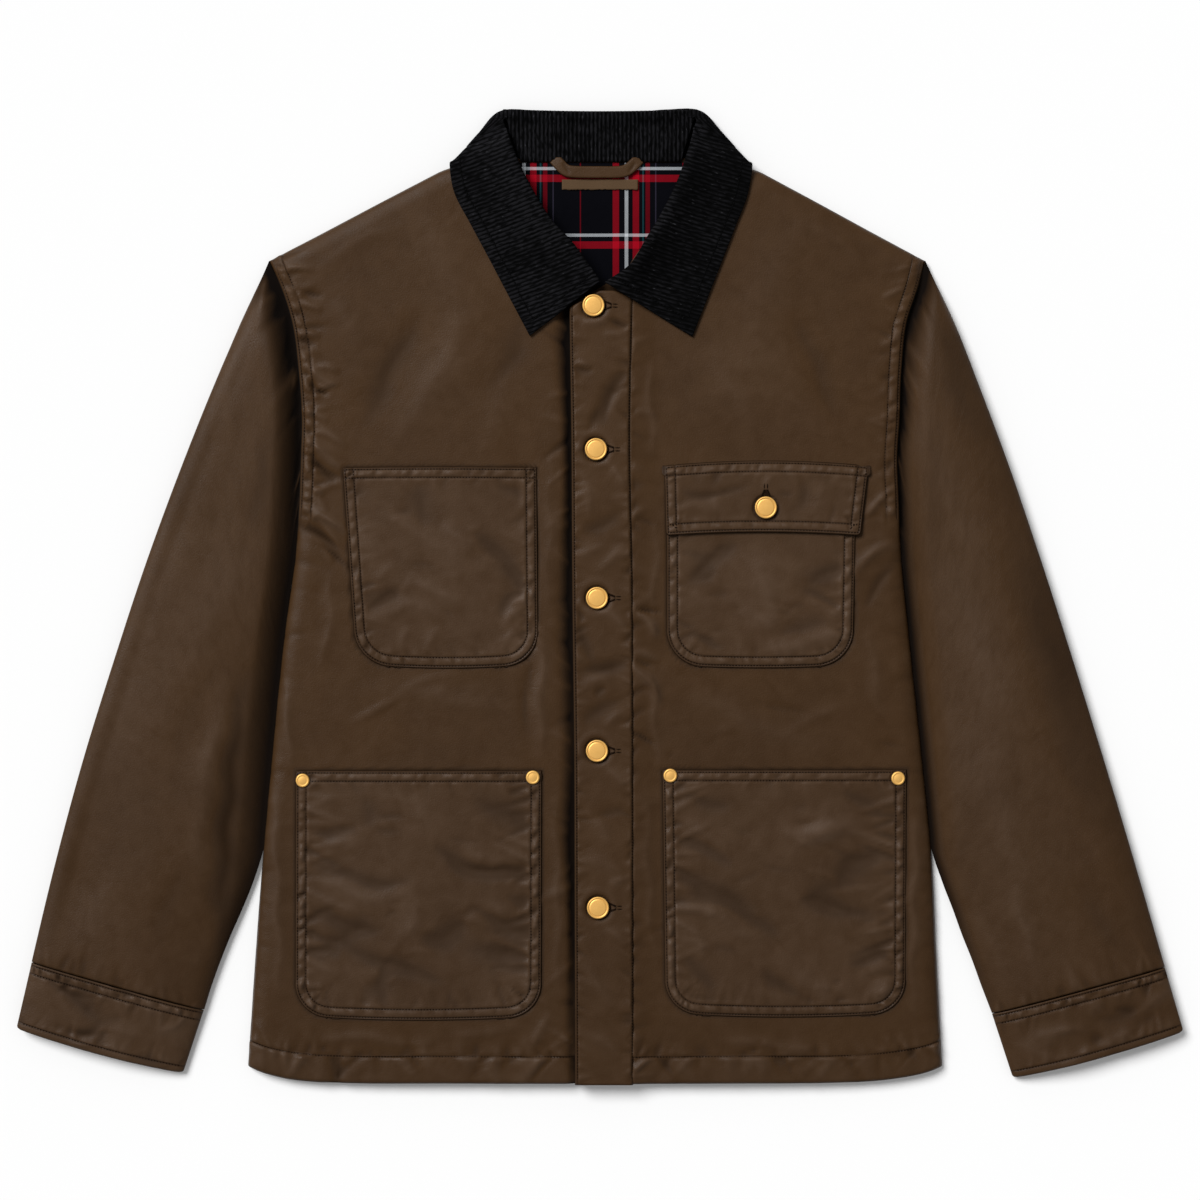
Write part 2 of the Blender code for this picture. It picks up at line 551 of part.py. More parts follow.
def fall_section(row):
    """Points across the fall from its roll to its outer edge, evenly spaced."""
    roll, turn, edge, rise = row[0:2], row[2:4], row[4:6], row[6]
    reach = np.hypot(*(turn - roll))
    ahead = (turn - roll) / reach
    under = np.hypot(*(edge - turn))
    hang = min(under / HANG, 1.0)
    at_back = abs(roll[0]) < 72 and roll[1] > 380
    # over the top, stopping short of the turn by the turn's own radius
    radius = 0.5 * (float(collar_support(*turn)) + LAY_GAP + CORDUROY)
    distance = np.linspace(0.0, reach - radius * smooth_step(0.0, 1.0, hang), 15)
    x, y = (roll + distance[:, None] * ahead).T
    lies_at = np.full(15, STAND_HIGH) if at_back else collar_support(x, y) + LAY_GAP + CORDUROY
    drop = ROLL_DROP * min(rise / 3.0, 1.0) * (1.0 - rounding(distance, 5.0))
    height = lies_at + rise * np.exp(-(distance / ROLL_SPREAD) ** 2) - drop
    path = np.stack([x, y, np.maximum(height, lining_top(y) + 2 * LAY_GAP + CORDUROY)], axis=-1)
    # round the turn and on underneath
    if hang > 0.02:
        angle = np.linspace(0.0, math.pi * hang, 9)[1:]
        radius = 0.5 * path[-1, 2]
        swing = radius * np.sin(angle)
        turned_under = np.stack([path[-1, 0] + swing * ahead[0], path[-1, 1] + swing * ahead[1],
                                 path[-1, 2] - radius * (1.0 - np.cos(angle))], axis=-1)
        path = np.concatenate([path, turned_under])
    if under > HANG:
        path = np.concatenate([path, [(edge[0], edge[1], 0.0)]])
    length = np.concatenate([[0.0], np.cumsum(np.linalg.norm(np.diff(path, axis=0), axis=1))])
    at = np.linspace(0.0, length[-1], FALL_SAMPLES)
    return np.stack([np.interp(at, length, path[:, axis]) for axis in range(3)], axis=-1)


def collar(corduroy, collection):
    """The fall, from the wearer's right point round the back to the left one, and the stand."""
    rows = np.array(FALL_RIGHT + FALL_LEFT[-2::-1])
    sections = np.array([fall_section(row) for row in rows])[:, ::-1]
    sheet("collar_fall", sections[..., :2], sections[..., 2], CORDUROY, corduroy, collection)
    across, up = np.linspace(0.0, 1.0, 9), np.array([0.0, 0.3, 0.65, 1.0])
    low_start, low_end, low_y = STAND_SEAM
    high_start, high_end, high_y = STAND_ROLL
    low = np.stack([low_start + across * (low_end - low_start), np.full(9, low_y)], axis=-1)
    high_y = high_y + 1.2 * (2.0 * across - 1.0) ** 2
    high = np.stack([high_start + across * (high_end - high_start), high_y], axis=-1)
    plan = low[None] + up[:, None, None] * (high - low)[None]
    height = STAND_LOW + (STAND_HIGH - STAND_LOW) * up[:, None]
    sheet("collar_stand", plan, height, CLOTH, corduroy, collection)


# ----------------------------------------------------------------------------------------------
# Inside the neck
# ----------------------------------------------------------------------------------------------

def neck_inside(tartan, cotton, label, collection):
    """Lining of the back where the neck shows it, its hanger loop and its label patch."""
    y = np.array([LINING_LOW, 220, 270, 286, 294, 302, 310, 318, LINING_HIGH])
    x = np.linspace(-LINING_HALF_WIDTH, LINING_HALF_WIDTH, 5)
    plan = np.stack(np.meshgrid(x, y), axis=-1)
    sheet("back_lining", plan, lining_top(plan[..., 1]), LINING_CLOTH, tartan, collection)
    # the loop: a band along a shallow curve whose ends go up into the neck seam
    stations = np.arange(float(len(LOOP)))
    keyed = np.column_stack([stations, LOOP])
    centre = through(keyed, np.linspace(0.0, stations[-1], 15))
    heading = np.gradient(centre, axis=0)
    heading = heading / np.linalg.norm(heading, axis=1)[:, None]
    normal = np.stack([-heading[:, 1], heading[:, 0]], axis=-1)
    plan = np.stack([centre + offset * LOOP_WIDTH * normal for offset in (-0.5, 0.0, 0.5)])
    plan[..., 1] = np.minimum(plan[..., 1], LINING_HIGH)
    height = lining_top(plan[..., 1]) + LAY_GAP + LINING_CLOTH
    height = height + LOOP_LIFT * np.sin(np.linspace(0.0, math.pi, 15))
    sheet("hanger_loop", plan, height, LINING_CLOTH, cotton, collection)
    x = np.linspace(-0.5, 0.5, 4) * LABEL_SIZE[0]
    y = LABEL_Y + np.array([-0.5, 0.5]) * LABEL_SIZE[1]
    plan = np.stack(np.meshgrid(x, y), axis=-1)
    height = lining_top(plan[..., 1]) + LAY_GAP + LABEL_CLOTH
    sheet("label_patch", plan, height, LABEL_CLOTH, label, collection)


# ----------------------------------------------------------------------------------------------
# Buttons, buttonholes and rivets
# ----------------------------------------------------------------------------------------------

def button(name, x, y, seat, shank, brass, collection):
    """Dished button with a raised rim, and its shank down through the buttonhole."""
    r, s = 0.5 * BUTTON_DIAMETER, 0.5 * SHANK_DIAMETER
    profile = [(0.0, 2.6), (3.4, 2.5), (r - 2.6, 2.2), (r - 1.7, 3.4), (r - 0.8, 3.6), (r, 2.6),
               (r - 0.2, 1.0), (r - 1.2, 0.0), (s, 0.0), (s, -shank), (0.0, -shank)]
    turned(name, profile, 20, (x, y, seat), brass, collection)


def rivet(name, x, y, seat, brass, collection):
    r = 0.5 * RIVET_DIAMETER
    profile = [(0.0, 1.5), (1.4, 1.6), (r - 2.2, 2.0), (r - 0.9, 1.7), (r, 0.9), (r, 0.0), (0.0, 0.0)]
    turned(name, profile, 16, (x, y, seat), brass, collection)


def cut_slot(targets, x, y, upright, cutters):
    """A buttonhole through the given pieces, from just behind the shank to beyond the button."""
    bpy.ops.mesh.primitive_cube_add(size=1.0)
    cutter = bpy.context.object
    cutter.name = "buttonhole_cutter"
    shift = 0.5 * (SLOT_LENGTH - SLOT_WIDTH)
    size, place = (SLOT_LENGTH, SLOT_WIDTH), (x + shift, y)
    if upright:
        size, place = (SLOT_WIDTH, SLOT_LENGTH), (x, y + shift)
    cutter.data.transform(Matrix.Diagonal((size[0] * MM, size[1] * MM, SLOT_DEPTH * MM, 1.0)))
    cutter.location = (place[0] * MM, place[1] * MM, FRONT_HEIGHT * MM)
    for other in cutter.users_collection:
        other.objects.unlink(cutter)
    cutters.objects.link(cutter)
    cutter.hide_render = True
    cutter.display_type = "WIRE"
    for target in targets:
        cut = target.modifiers.new("buttonhole", "BOOLEAN")
        cut.object = cutter
        cut.operation = "DIFFERENCE"
        cut.solver = "EXACT"


def fastenings(brass, collection, cutters):
    """Front buttons, the flap's button and the hip pockets' rivets."""
    front, strip, flap = (bpy.data.objects[name] for name in ("front_left", "placket", FLAP[0]))
    for i, (x, y) in enumerate(BUTTONS):
        seat = float(front_left_top(x, y)) + 2 * LAY_GAP + PATCH_CLOTH
        shank = seat - float(front_top(x, y)) - LAY_GAP
        cut_slot([front, strip], x, y, False, cutters)
        button(f"front_button_{i + 1}", x, y, seat, shank, brass, collection)
    x, y = FLAP_BUTTON
    seat = float(flap_top(x, y)) + LAY_GAP
    cut_slot([flap], x, y, True, cutters)
    shank = seat - float(pocket_top(x, y, FLAP_POCKET)) - LAY_GAP
    button("flap_button", x, y, seat, shank, brass, collection)
    for i, (x, y) in enumerate(RIVETS):
        row = POCKETS[2] if x < 0 else POCKETS[3]
        seat = float(pocket_top(x, y, row)) + 1.7 * LAY_GAP
        rivet(f"rivet_{i + 1}", x, y, seat, brass, collection)


def build():
    for obj in list(bpy.data.objects):
        bpy.data.objects.remove(obj, do_unlink=True)
    jacket = bpy.data.collections.new("chore_jacket")
    cutters = bpy.data.collections.new("cutters")
    for collection in (jacket, cutters):
        bpy.context.scene.collection.children.link(collection)
    cotton = surface_material("waxed_cotton", (0.062, 0.035, 0.017), 0.55)
    corduroy = surface_material("black_corduroy", (0.006, 0.006, 0.007), 0.85)
    tartan = surface_material("tartan_lining", (0.012, 0.012, 0.022), 0.8)
    label = surface_material("label_cloth", (0.09, 0.05, 0.025), 0.75)
    brass = surface_material("brass", (0.78, 0.42, 0.12), 0.3, 1.0)
    back_panel(cotton, jacket)
    front_right(cotton, jacket)
    front_left(cotton, jacket)
    placket(cotton, jacket)
    pockets(cotton, jacket)
    sleeves(cotton, jacket)
    collar(corduroy, jacket)
    neck_inside(tartan, cotton, label, jacket)
    fastenings(brass, jacket, cutters)


build()
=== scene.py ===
"""Waxed-cotton chore jacket with a corduroy collar, buttoned up and laid flat: its finish.

Sizes in the tables are millimetres and meshes are metres, in the frame of the CAD model: +Z up,
collar towards +Y, hem towards -Y. "right" and "left" are the wearer's; the right is at -X.
"""

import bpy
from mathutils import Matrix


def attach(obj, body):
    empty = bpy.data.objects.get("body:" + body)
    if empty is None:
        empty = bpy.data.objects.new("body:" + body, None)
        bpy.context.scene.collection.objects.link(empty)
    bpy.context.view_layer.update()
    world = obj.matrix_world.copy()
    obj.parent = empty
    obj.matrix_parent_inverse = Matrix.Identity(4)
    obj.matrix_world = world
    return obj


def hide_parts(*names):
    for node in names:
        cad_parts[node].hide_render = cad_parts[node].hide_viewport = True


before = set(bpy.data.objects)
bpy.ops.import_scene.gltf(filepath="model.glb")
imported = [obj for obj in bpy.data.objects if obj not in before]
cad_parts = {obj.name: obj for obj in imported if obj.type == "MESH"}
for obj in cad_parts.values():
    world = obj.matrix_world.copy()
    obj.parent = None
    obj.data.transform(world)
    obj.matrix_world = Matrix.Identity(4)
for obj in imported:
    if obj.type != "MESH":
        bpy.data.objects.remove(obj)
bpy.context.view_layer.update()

import math

import bpy
import numpy as np
from mathutils import Vector

# ===== Table, light and camera =====
# A plain white table under a broad soft lamp from the upper left and an even pale surround,
# seen from straight above through a long lens.
MM = 0.001
VIEW_WIDTH, VIEW_CENTRE_Y, VIEW_HEIGHT = 0.96, -0.0032, 0.004      # metres, at that height
LENS, SENSOR = 90.0, 36.0
LAMP_TOWARDS = (-0.50, 0.48, 0.72)
LAMP_POWER, LAMP_SPREAD = 3.75, math.radians(30)
SURROUND = 0.33
TABLE_WHITE, TABLE_GLOW = 0.76, 0.09
TABLE_REACH, TABLE_GAP = 4000.0, 0.3      # half its width, and how far it lies below the jacket

scene = bpy.context.scene
scene.view_settings.view_transform = "Standard"
lens = bpy.data.cameras.new("camera")
lens.lens, lens.sensor_width = LENS, SENSOR
camera = bpy.data.objects.new("camera", lens)
camera.location = (0.0, VIEW_CENTRE_Y, VIEW_WIDTH * LENS / SENSOR + VIEW_HEIGHT)
scene.collection.objects.link(camera)
scene.camera = camera

lamp_light = bpy.data.lights.new("soft_lamp", "SUN")
lamp_light.energy, lamp_light.angle = LAMP_POWER, LAMP_SPREAD
lamp = bpy.data.objects.new("soft_lamp", lamp_light)
lamp.rotation_mode = "QUATERNION"
lamp.rotation_quaternion = Vector(LAMP_TOWARDS).to_track_quat("Z", "Y")
scene.collection.objects.link(lamp)

surround = bpy.data.worlds.new("surround")
surround.use_nodes = True
sky = surround.node_tree.nodes["Background"].inputs
sky["Color"].default_value, sky["Strength"].default_value = (1.0, 1.0, 1.0, 1.0), SURROUND
scene.world = surround


class Finish:
    """A material and the steps that its recipe is written in. Each step adds a node and gives its
    output. Values are plain numbers, colours, or the outputs of other steps."""

    def __init__(self, name, **plain):
        self.material = bpy.data.materials.new(name)
        self.material.use_nodes = True
        self.nodes, self.links = self.material.node_tree.nodes, self.material.node_tree.links
        self.shader = self.nodes["Principled BSDF"]
        for label, value in plain.items():
            self.shader.inputs[label.replace("_", " ")].default_value = value

    def node(self, kind, at=None, **values):
        """A node of a kind on the given coordinates, with values on its inputs."""
        node = self.nodes.new("ShaderNode" + kind)
        for label, value in values.items():
            node.inputs[label.replace("_", " ")].default_value = value
        if at is not None:
            self.links.new(at, node.inputs["Vector"])
        return node

    def gives(self, value, label):
        """An output drives the shader's input of that label."""
        self.links.new(value, self.shader.inputs[label])

    def place(self):
        """The point on the object, in metres."""
        return self.node("TexCoord").outputs["Object"]

    def kept(self, name):
        """A number kept at the mesh's points: "relief" in mm, lowered further where shade is painted, and
        "row" in mm from a stitch row or from a painted shadow ring or edge.
        """
        node = self.node("Attribute")
        node.attribute_name = name
        return node.outputs["Fac"]

    def noise(self, at, scale, detail=3.0, distortion=0.0):
        """Noise of a scale per metre."""
        return self.node("TexNoise", at, Scale=scale, Detail=detail, Distortion=distortion).outputs["Fac"]

    def sums(self, operation, *values, clamp=False):
        """One step of arithmetic."""
        step = self.node("Math")
        step.operation, step.use_clamp = operation, clamp
        for socket, value in zip(step.inputs, values):
            if isinstance(value, (int, float)):
                socket.default_value = value
            else:
                self.links.new(value, socket)
        return step.outputs[0]

    def between(self, value, low, high, to_low=0.0, to_high=1.0):
        """A value from low..high carried to to_low..to_high and held at both ends."""
        step = self.node("MapRange", From_Min=low, From_Max=high, To_Min=to_low, To_Max=to_high)
        self.links.new(value, step.inputs["Value"])
        return step.outputs["Result"]

    def blend(self, share, first, second):
        """The colour that lies between two others by a share."""
        mix = self.node("Mix")
        mix.data_type = "RGBA"
        self.links.new(share, mix.inputs["Factor"])
        for label, colour in (("A", first), ("B", second)):
            socket = next(s for s in mix.inputs if s.name == label and s.type == "RGBA")
            if isinstance(colour, tuple):
                socket.default_value = (*colour, 1.0)
            else:
                self.links.new(colour, socket)
        return next(s for s in mix.outputs if s.type == "RGBA")

    def bumps(self, *layers):
        """Bump of each layer (height, metres), one over another."""
        normal = None
        for height, distance in layers:
            bump = self.node("Bump", Distance=distance)
            self.links.new(height, bump.inputs["Height"])
            if normal is not None:
                self.links.new(normal, bump.inputs["Normal"])
            normal = bump.outputs["Normal"]
        self.gives(normal, "Normal")


def made(name, points, faces, material, smooth=False):
    """An object of points in mm and faces, in a material."""
    mesh = bpy.data.meshes.new(name)
    mesh.from_pydata((np.array(points) * MM).tolist(), [], faces)
    mesh.polygons.foreach_set("use_smooth", np.full(len(faces), smooth))
    mesh.materials.append(material)
    piece = bpy.data.objects.new(name, mesh)
    scene.collection.objects.link(piece)
    return piece


table_paint = Finish("table_white", Base_Color=(TABLE_WHITE, TABLE_WHITE, TABLE_WHITE, 1.0),
                     Roughness=0.95, Specular_IOR_Level=0.0,
                     Emission_Color=(1.0, 1.0, 1.0, 1.0), Emission_Strength=TABLE_GLOW)
corners = [(x * TABLE_REACH, y * TABLE_REACH, -TABLE_GAP) for x, y in ((-1, -1), (1, -1), (1, 1), (-1, 1))]
made("table", corners, [(0, 1, 2, 3)], table_paint.material)

# ===== Waxed cotton and thread =====
# A close brown cotton twill rubbed with wax: dull in the hollows, with a low greyish sheen where it is
# stretched, and paler along ridges and edges, partly from wear and partly as a painted sheen; its hollows
# are painted in shade. It is sewn with thread of its own colour.
COTTON_DARK, COTTON_LIGHT = (0.0365, 0.0172, 0.0060), (0.060, 0.0300, 0.0116)
COTTON_WORN_AND_SHEEN, COTTON_SEAM_AND_SHADE = (0.090, 0.0564, 0.0360), (0.012, 0.0052, 0.0020)
COTTON_PAINTED_SHADE = (0.0022, 0.0011, 0.0006)
THREAD_BROWN = (0.0130, 0.0058, 0.0024)


def waxed_cotton(name, worn_and_sheen, seed):
    """Waxed twill on the piece's own map in metres: cloudy two-tone wax, paler on its ridges with the
    piece's wear and a painted sheen, lighter towards the shoulders and darker towards the hem as painted
    shade, near black in deep folds as painted shade, dark along its stitch rows and in painted shadow rings
    round buttons and rivets and along pocket edges, with fine twill lines and wrinkles."""
    wax = Finish(name, Specular_IOR_Level=0.11)
    shifted = (seed * 1.37, seed * 0.71, seed * 0.13)
    at = wax.node("Mapping", wax.node("UVMap").outputs["UV"], Location=shifted).outputs["Vector"]
    clouds, mottle = wax.noise(at, 11.0, 3.0, 0.4), wax.noise(at, 75.0, 5.0, 0.3)
    grain = wax.noise(at, 900.0, 2.0)
    relief, row = wax.kept("relief"), wax.kept("row")
    light = wax.sums("MULTIPLY_ADD", clouds, 0.6, 0.05)
    light = wax.sums("MULTIPLY_ADD", mottle, 0.70, light)
    light = wax.sums("MULTIPLY_ADD", grain, 0.80, light)
    light = wax.sums("SUBTRACT", light, 0.68, clamp=True)
    colour = wax.blend(light, COTTON_DARK, COTTON_LIGHT)
    # paler on ridges: partly the piece's wear, partly a painted sheen
    wear_and_sheen = wax.between(relief, -0.3, 1.6, worn_and_sheen - 0.18, worn_and_sheen + 0.24)
    wear_and_sheen = wax.sums("MULTIPLY", wear_and_sheen, wax.between(clouds, 0.38, 0.62, 0.72, 1.25))
    wear_and_sheen = wax.sums("MULTIPLY", wear_and_sheen, wax.between(mottle, 0.3, 0.7, 0.55, 1.0), clamp=True)
    colour = wax.blend(wear_and_sheen, colour, COTTON_WORN_AND_SHEEN)
    # painted shade: near black where the relief is deep
    colour = wax.blend(wax.between(relief, -3.4, -0.15, 0.98, 0.0), colour, COTTON_PAINTED_SHADE)
    # dark along stitch rows, and painted shadow rings round buttons and rivets and along pocket edges
    colour = wax.blend(wax.between(row, 0.3, 1.1, 0.55, 0.0), colour, COTTON_SEAM_AND_SHADE)
    # painted shade: darker towards the hem, lighter towards the shoulders
    up = wax.node("SeparateXYZ", wax.place()).outputs["Y"]
    colour = wax.blend(wax.between(up, -0.40, 0.20, 0.24, 0.0), colour, COTTON_SEAM_AND_SHADE)
    wax.gives(colour, "Base Color")
    gloss = wax.sums("MULTIPLY_ADD", mottle, 0.30, wax.between(clouds, 0.35, 0.65, 0.36, 0.26))
    dull = wax.between(relief, -2.4, -0.4, 0.65, 0.0)
    wax.gives(wax.sums("ADD", gloss, dull, clamp=True), "Roughness")
    twill = wax.node("TexWave", at, Scale=420.0, Distortion=1.5)
    twill.bands_direction = "DIAGONAL"
    wrinkles, groove = wax.noise(at, 34.0, 4.0, 0.8), wax.between(row, 0.0, 0.9, 0.0, 1.0)
    wax.bumps((wrinkles, 0.0006), (mottle, 0.00022), (grain, 0.00022),
              (twill.outputs["Fac"], 0.00005), (groove, 0.0004))
    return wax.material


cotton_body = waxed_cotton("waxed_cotton_body", 0.13, 1)
cotton_sleeve = waxed_cotton("waxed_cotton_sleeve", 0.20, 2)
cotton_pocket = waxed_cotton("waxed_cotton_pocket", 0.44, 3)
cotton_trim = waxed_cotton("waxed_cotton_trim", 0.20, 4)


def spun(name, colour):
    """Sewing thread of a colour, darker between its strands."""
    thread = Finish(name, Roughness=0.8, Specular_IOR_Level=0.05)
    strands = thread.noise(thread.place(), 2500.0, 2.0)
    thread.gives(thread.blend(strands, colour, tuple(0.5 * part for part in colour)), "Base Color")
    thread.bumps((strands, 0.0001))
    return thread.material


thread_brown = spun("thread_brown", THREAD_BROWN)
THREAD_LIFT, HEM_THREAD_LIFT = 0.15, 0.3


def run_along(path):
    """Length run from a path's start to each of its points."""
    return np.concatenate([[0.0], np.cumsum(np.linalg.norm(np.diff(path, axis=0), axis=1))])


def at_runs(path, runs):
    """Points of a path at the given lengths from its start."""
    gone = run_along(path)
    return np.stack([np.interp(runs, gone, values) for values in path.T], axis=-1)


def sewn(name, paths, pitch=2.4, long=1.5, wide=1.05, high=0.8, thread=thread_brown):
    """Stitches along 3-D paths in mm: each a spindle of square section, thin at both ends, laid
    along its path between two needle holes at equal steps of the path's length."""
    centres, ways = [], []
    for path in paths:
        length = run_along(path)[-1]
        count = max(1, int(length // pitch))
        at = (np.arange(count) + 0.5) * length / count
        ends = [at_runs(path, at + off) for off in (-0.5 * long, 0.0, 0.5 * long)]
        centres.append(ends[1])
        ways.append((ends[2] - ends[0]) / np.linalg.norm(ends[2] - ends[0], axis=1)[:, None])
    centre, way = np.concatenate(centres), np.concatenate(ways)
    side = np.cross((0.0, 0.0, 1.0), way)
    side /= np.linalg.norm(side, axis=1)[:, None]
    up = np.cross(way, side)
    around = [0.5 * wide * side, 0.5 * high * up, -0.5 * wide * side, -0.5 * high * up]
    points = np.stack([centre + along * long * way + size * edge
                       for along, size in ((-0.5, 0.3), (0.0, 1.0), (0.5, 0.3)) for edge in around], axis=1)
    one = [(a + i, a + (i + 1) % 4, a + 4 + (i + 1) % 4, a + 4 + i) for a in (0, 4) for i in range(4)]
    one = np.array(one + [(3, 2, 1, 0), (8, 9, 10, 11)])
    faces = (one[None] + 12 * np.arange(len(centre))[:, None, None]).reshape(-1, 4)
    piece = made(name, points.reshape(-1, 3), faces.tolist(), thread, smooth=True)
    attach(piece, "root")


# ===== Back panel =====
# One piece of lined waxed cotton that lies on the table. It meets the fronts at the side and
# shoulder seams and the sleeves at the armholes, and is turned up and stitched along the hem.
CLOTH, LAY_GAP, SEAM_GAP = 1.5, 0.35, 0.8
SIDES = [
    (-376, -281.5, 273.8), (-287, -275.6, 269.2), (-207, -269.6, 265.4), (-135, -263.2, 258.6),
    (-35, -253, 248), (45, -242.6, 240.6), (80, -240.6, 239.2), (110, -239.6, 238.2), (140, -238.8, 240),
    (180, -241.4, 241.6), (221, -247.2, 246.4), (246, -255.2, 254.6), (268, -264.6, 260.2)]
UNDERARM_Y, SHOULDER_Y = 45.0, 268.0
HEM = [
    (-281.5, -376), (-268, -381), (-252, -385), (-232, -387.6), (-208, -388.6), (-120, -389),
    (-20, -389.2), (100, -389), (190, -388.4), (216, -387.4), (238, -385), (258, -381.2), (273.8, -376)]
SHOULDERS = [
    (-264.6, 268), (-127, 339.6), (-116, 343.4), (-80, 352), (81, 351.5), (117, 342.6), (128, 339),
    (260.2, 268)]
BACK_NECK = [(-80, 352), (-62, 350), (-30, 349.2), (0, 349), (30, 349.2), (62, 350), (81, 351.5)]
BACK_RISE = 2.5
HEM_ROW = 21.6                    # the hem's stitches lie this far above its edge
NO_ROW = 9.0                      # further from a stitch row than its wax reaches
# creases: from x, y, to x, y, bow, half width, height
BACK_CREASES = [
    (-200, 150, 120, 60, 18, 16, 0.9), (-230, -60, 60, -120, -14, 20, 0.8),
    (210, 40, 40, -230, 20, 18, 0.8), (-120, -340, -60, -150, 8, 14, 0.7),
    (160, -340, 110, -190, -9, 15, 0.7), (-60, 260, 10, 120, 12, 20, 0.6)]


def smooth_step(low, high, value):
    """0 below low, 1 above high, with a soft change between."""
    t = np.clip((np.asarray(value, float) - low) / (high - low), 0.0, 1.0)
    return t * t * (3.0 - 2.0 * t)


def through(stops, at):
    """Values at `at` of the smooth curve through the stops (key, value, ...), keys rising."""
    stops = np.asarray(stops, float)
    keys, values = stops[:, 0], stops[:, 1:]
    slopes = np.gradient(values, keys, axis=0)
    at = np.asarray(at, float)
    i = np.clip(np.searchsorted(keys, at, side="right") - 1, 0, len(keys) - 2)
    step = (keys[i + 1] - keys[i])[..., None]
    t = ((at - keys[i])[..., None] / step).clip(0.0, 1.0)
    t2, t3 = t * t, t * t * t
    return ((2 * t3 - 3 * t2 + 1) * values[i] + (t3 - 2 * t2 + t) * step * slopes[i]
            + (3 * t2 - 2 * t3) * values[i + 1] + (t3 - t2) * step * slopes[i + 1])


def graded(start, end, coarse, *near):
    """Values from start to end, `coarse` apart, and finer near each (at, reach, step): equal
    steps of the integral of one over the spacing."""
    line = np.linspace(start, end, 3001)
    pace = np.full(line.shape, float(coarse))
    for at, reach, step in near:
        pace = np.minimum(pace, step + (coarse - step) * smooth_step(reach, 1.7 * reach, abs(line - at)))
    count = np.concatenate([[0.0], np.cumsum(np.diff(line) * 0.5 * (1 / pace[1:] + 1 / pace[:-1]))])
    return np.interp(np.linspace(0.0, count[-1], math.ceil(count[-1]) + 1), count, line)


def coons(low, high, left, right, across, up):
    """Grid of plan points between four edge curves; low and high run along `across`."""
    u, v = across[None, :, None], up[:, None, None]
    corners = ((1 - u) * (1 - v) * low[0] + u * (1 - v) * low[-1]
               + (1 - u) * v * high[0] + u * v * high[-1])
    return ((1 - v) * low[None] + v * high[None]
            + (1 - u) * left[:, None] + u * right[:, None] - corners)


def share(values):
    """How far each value is from the first to the last, 0 to 1."""
    return (values - values[0]) / (values[-1] - values[0])


def from_line(x, y, x0, y0, x1, y1):
    """A line's length, and how far the points lie along it and to its left."""
    length = math.hypot(x1 - x0, y1 - y0)
    ux, uy = (x1 - x0) / length, (y1 - y0) / length
    return length, (x - x0) * ux + (y - y0) * uy, (x - x0) * -uy + (y - y0) * ux


def creases(x, y, table):
    """Sum of soft ridges, or troughs where the height is below 0. Each runs along a bowed line
    from end to end, is a bell across it and fades out along it. Slow waves in both plan
    directions make the lines uneven."""
    total = np.zeros(np.broadcast(x, y).shape)
    x, y = (x + 1.8 * np.sin(0.12 * y + 1.3 * np.sin(0.047 * x)),
            y + 1.8 * np.sin(0.10 * x + 1.7 * np.sin(0.041 * y)))
    for x0, y0, x1, y1, bow, width, height in table:
        length, along, across = from_line(x, y, x0, y0, x1, y1)
        along = np.clip(along / length, -0.2, 1.2)
        across = across - 4.0 * bow * along * (1.0 - along)
        ends = np.sin(math.pi * np.clip(along, 0.0, 1.0)) ** 0.8
        total = total + 1.8 * height * ends * np.exp(-np.abs(across / (0.85 * width)) ** 1.4)
    return total


def crumples(x, y, seed, count, box, slant=0.45, size=1.0):
    """Creases like those of `creases`, smaller and scattered over a box (x0, x1, y0, y1) with
    places, slants, lengths and heights drawn from the seed."""
    draw = np.random.default_rng(seed)
    table = []
    for _ in range(count):
        x0, y0 = draw.uniform(box[0], box[1]), draw.uniform(box[2], box[3])
        length, lean = draw.uniform(12, 42) * size, draw.uniform(-slant, slant)
        height = draw.uniform(0.2, 0.55) * size * (1.0 if draw.uniform() < 0.5 else -1.0)
        table.append((x0, y0, x0 + length * math.cos(lean), y0 + length * math.sin(lean),
                      draw.uniform(-3, 3), draw.uniform(2.2, 5.0) * size, height))
    return creases(x, y, table)


def raised(plan, height):
    """Grid of plan points with their heights."""
    return np.concatenate([plan, height[..., None]], axis=-1)


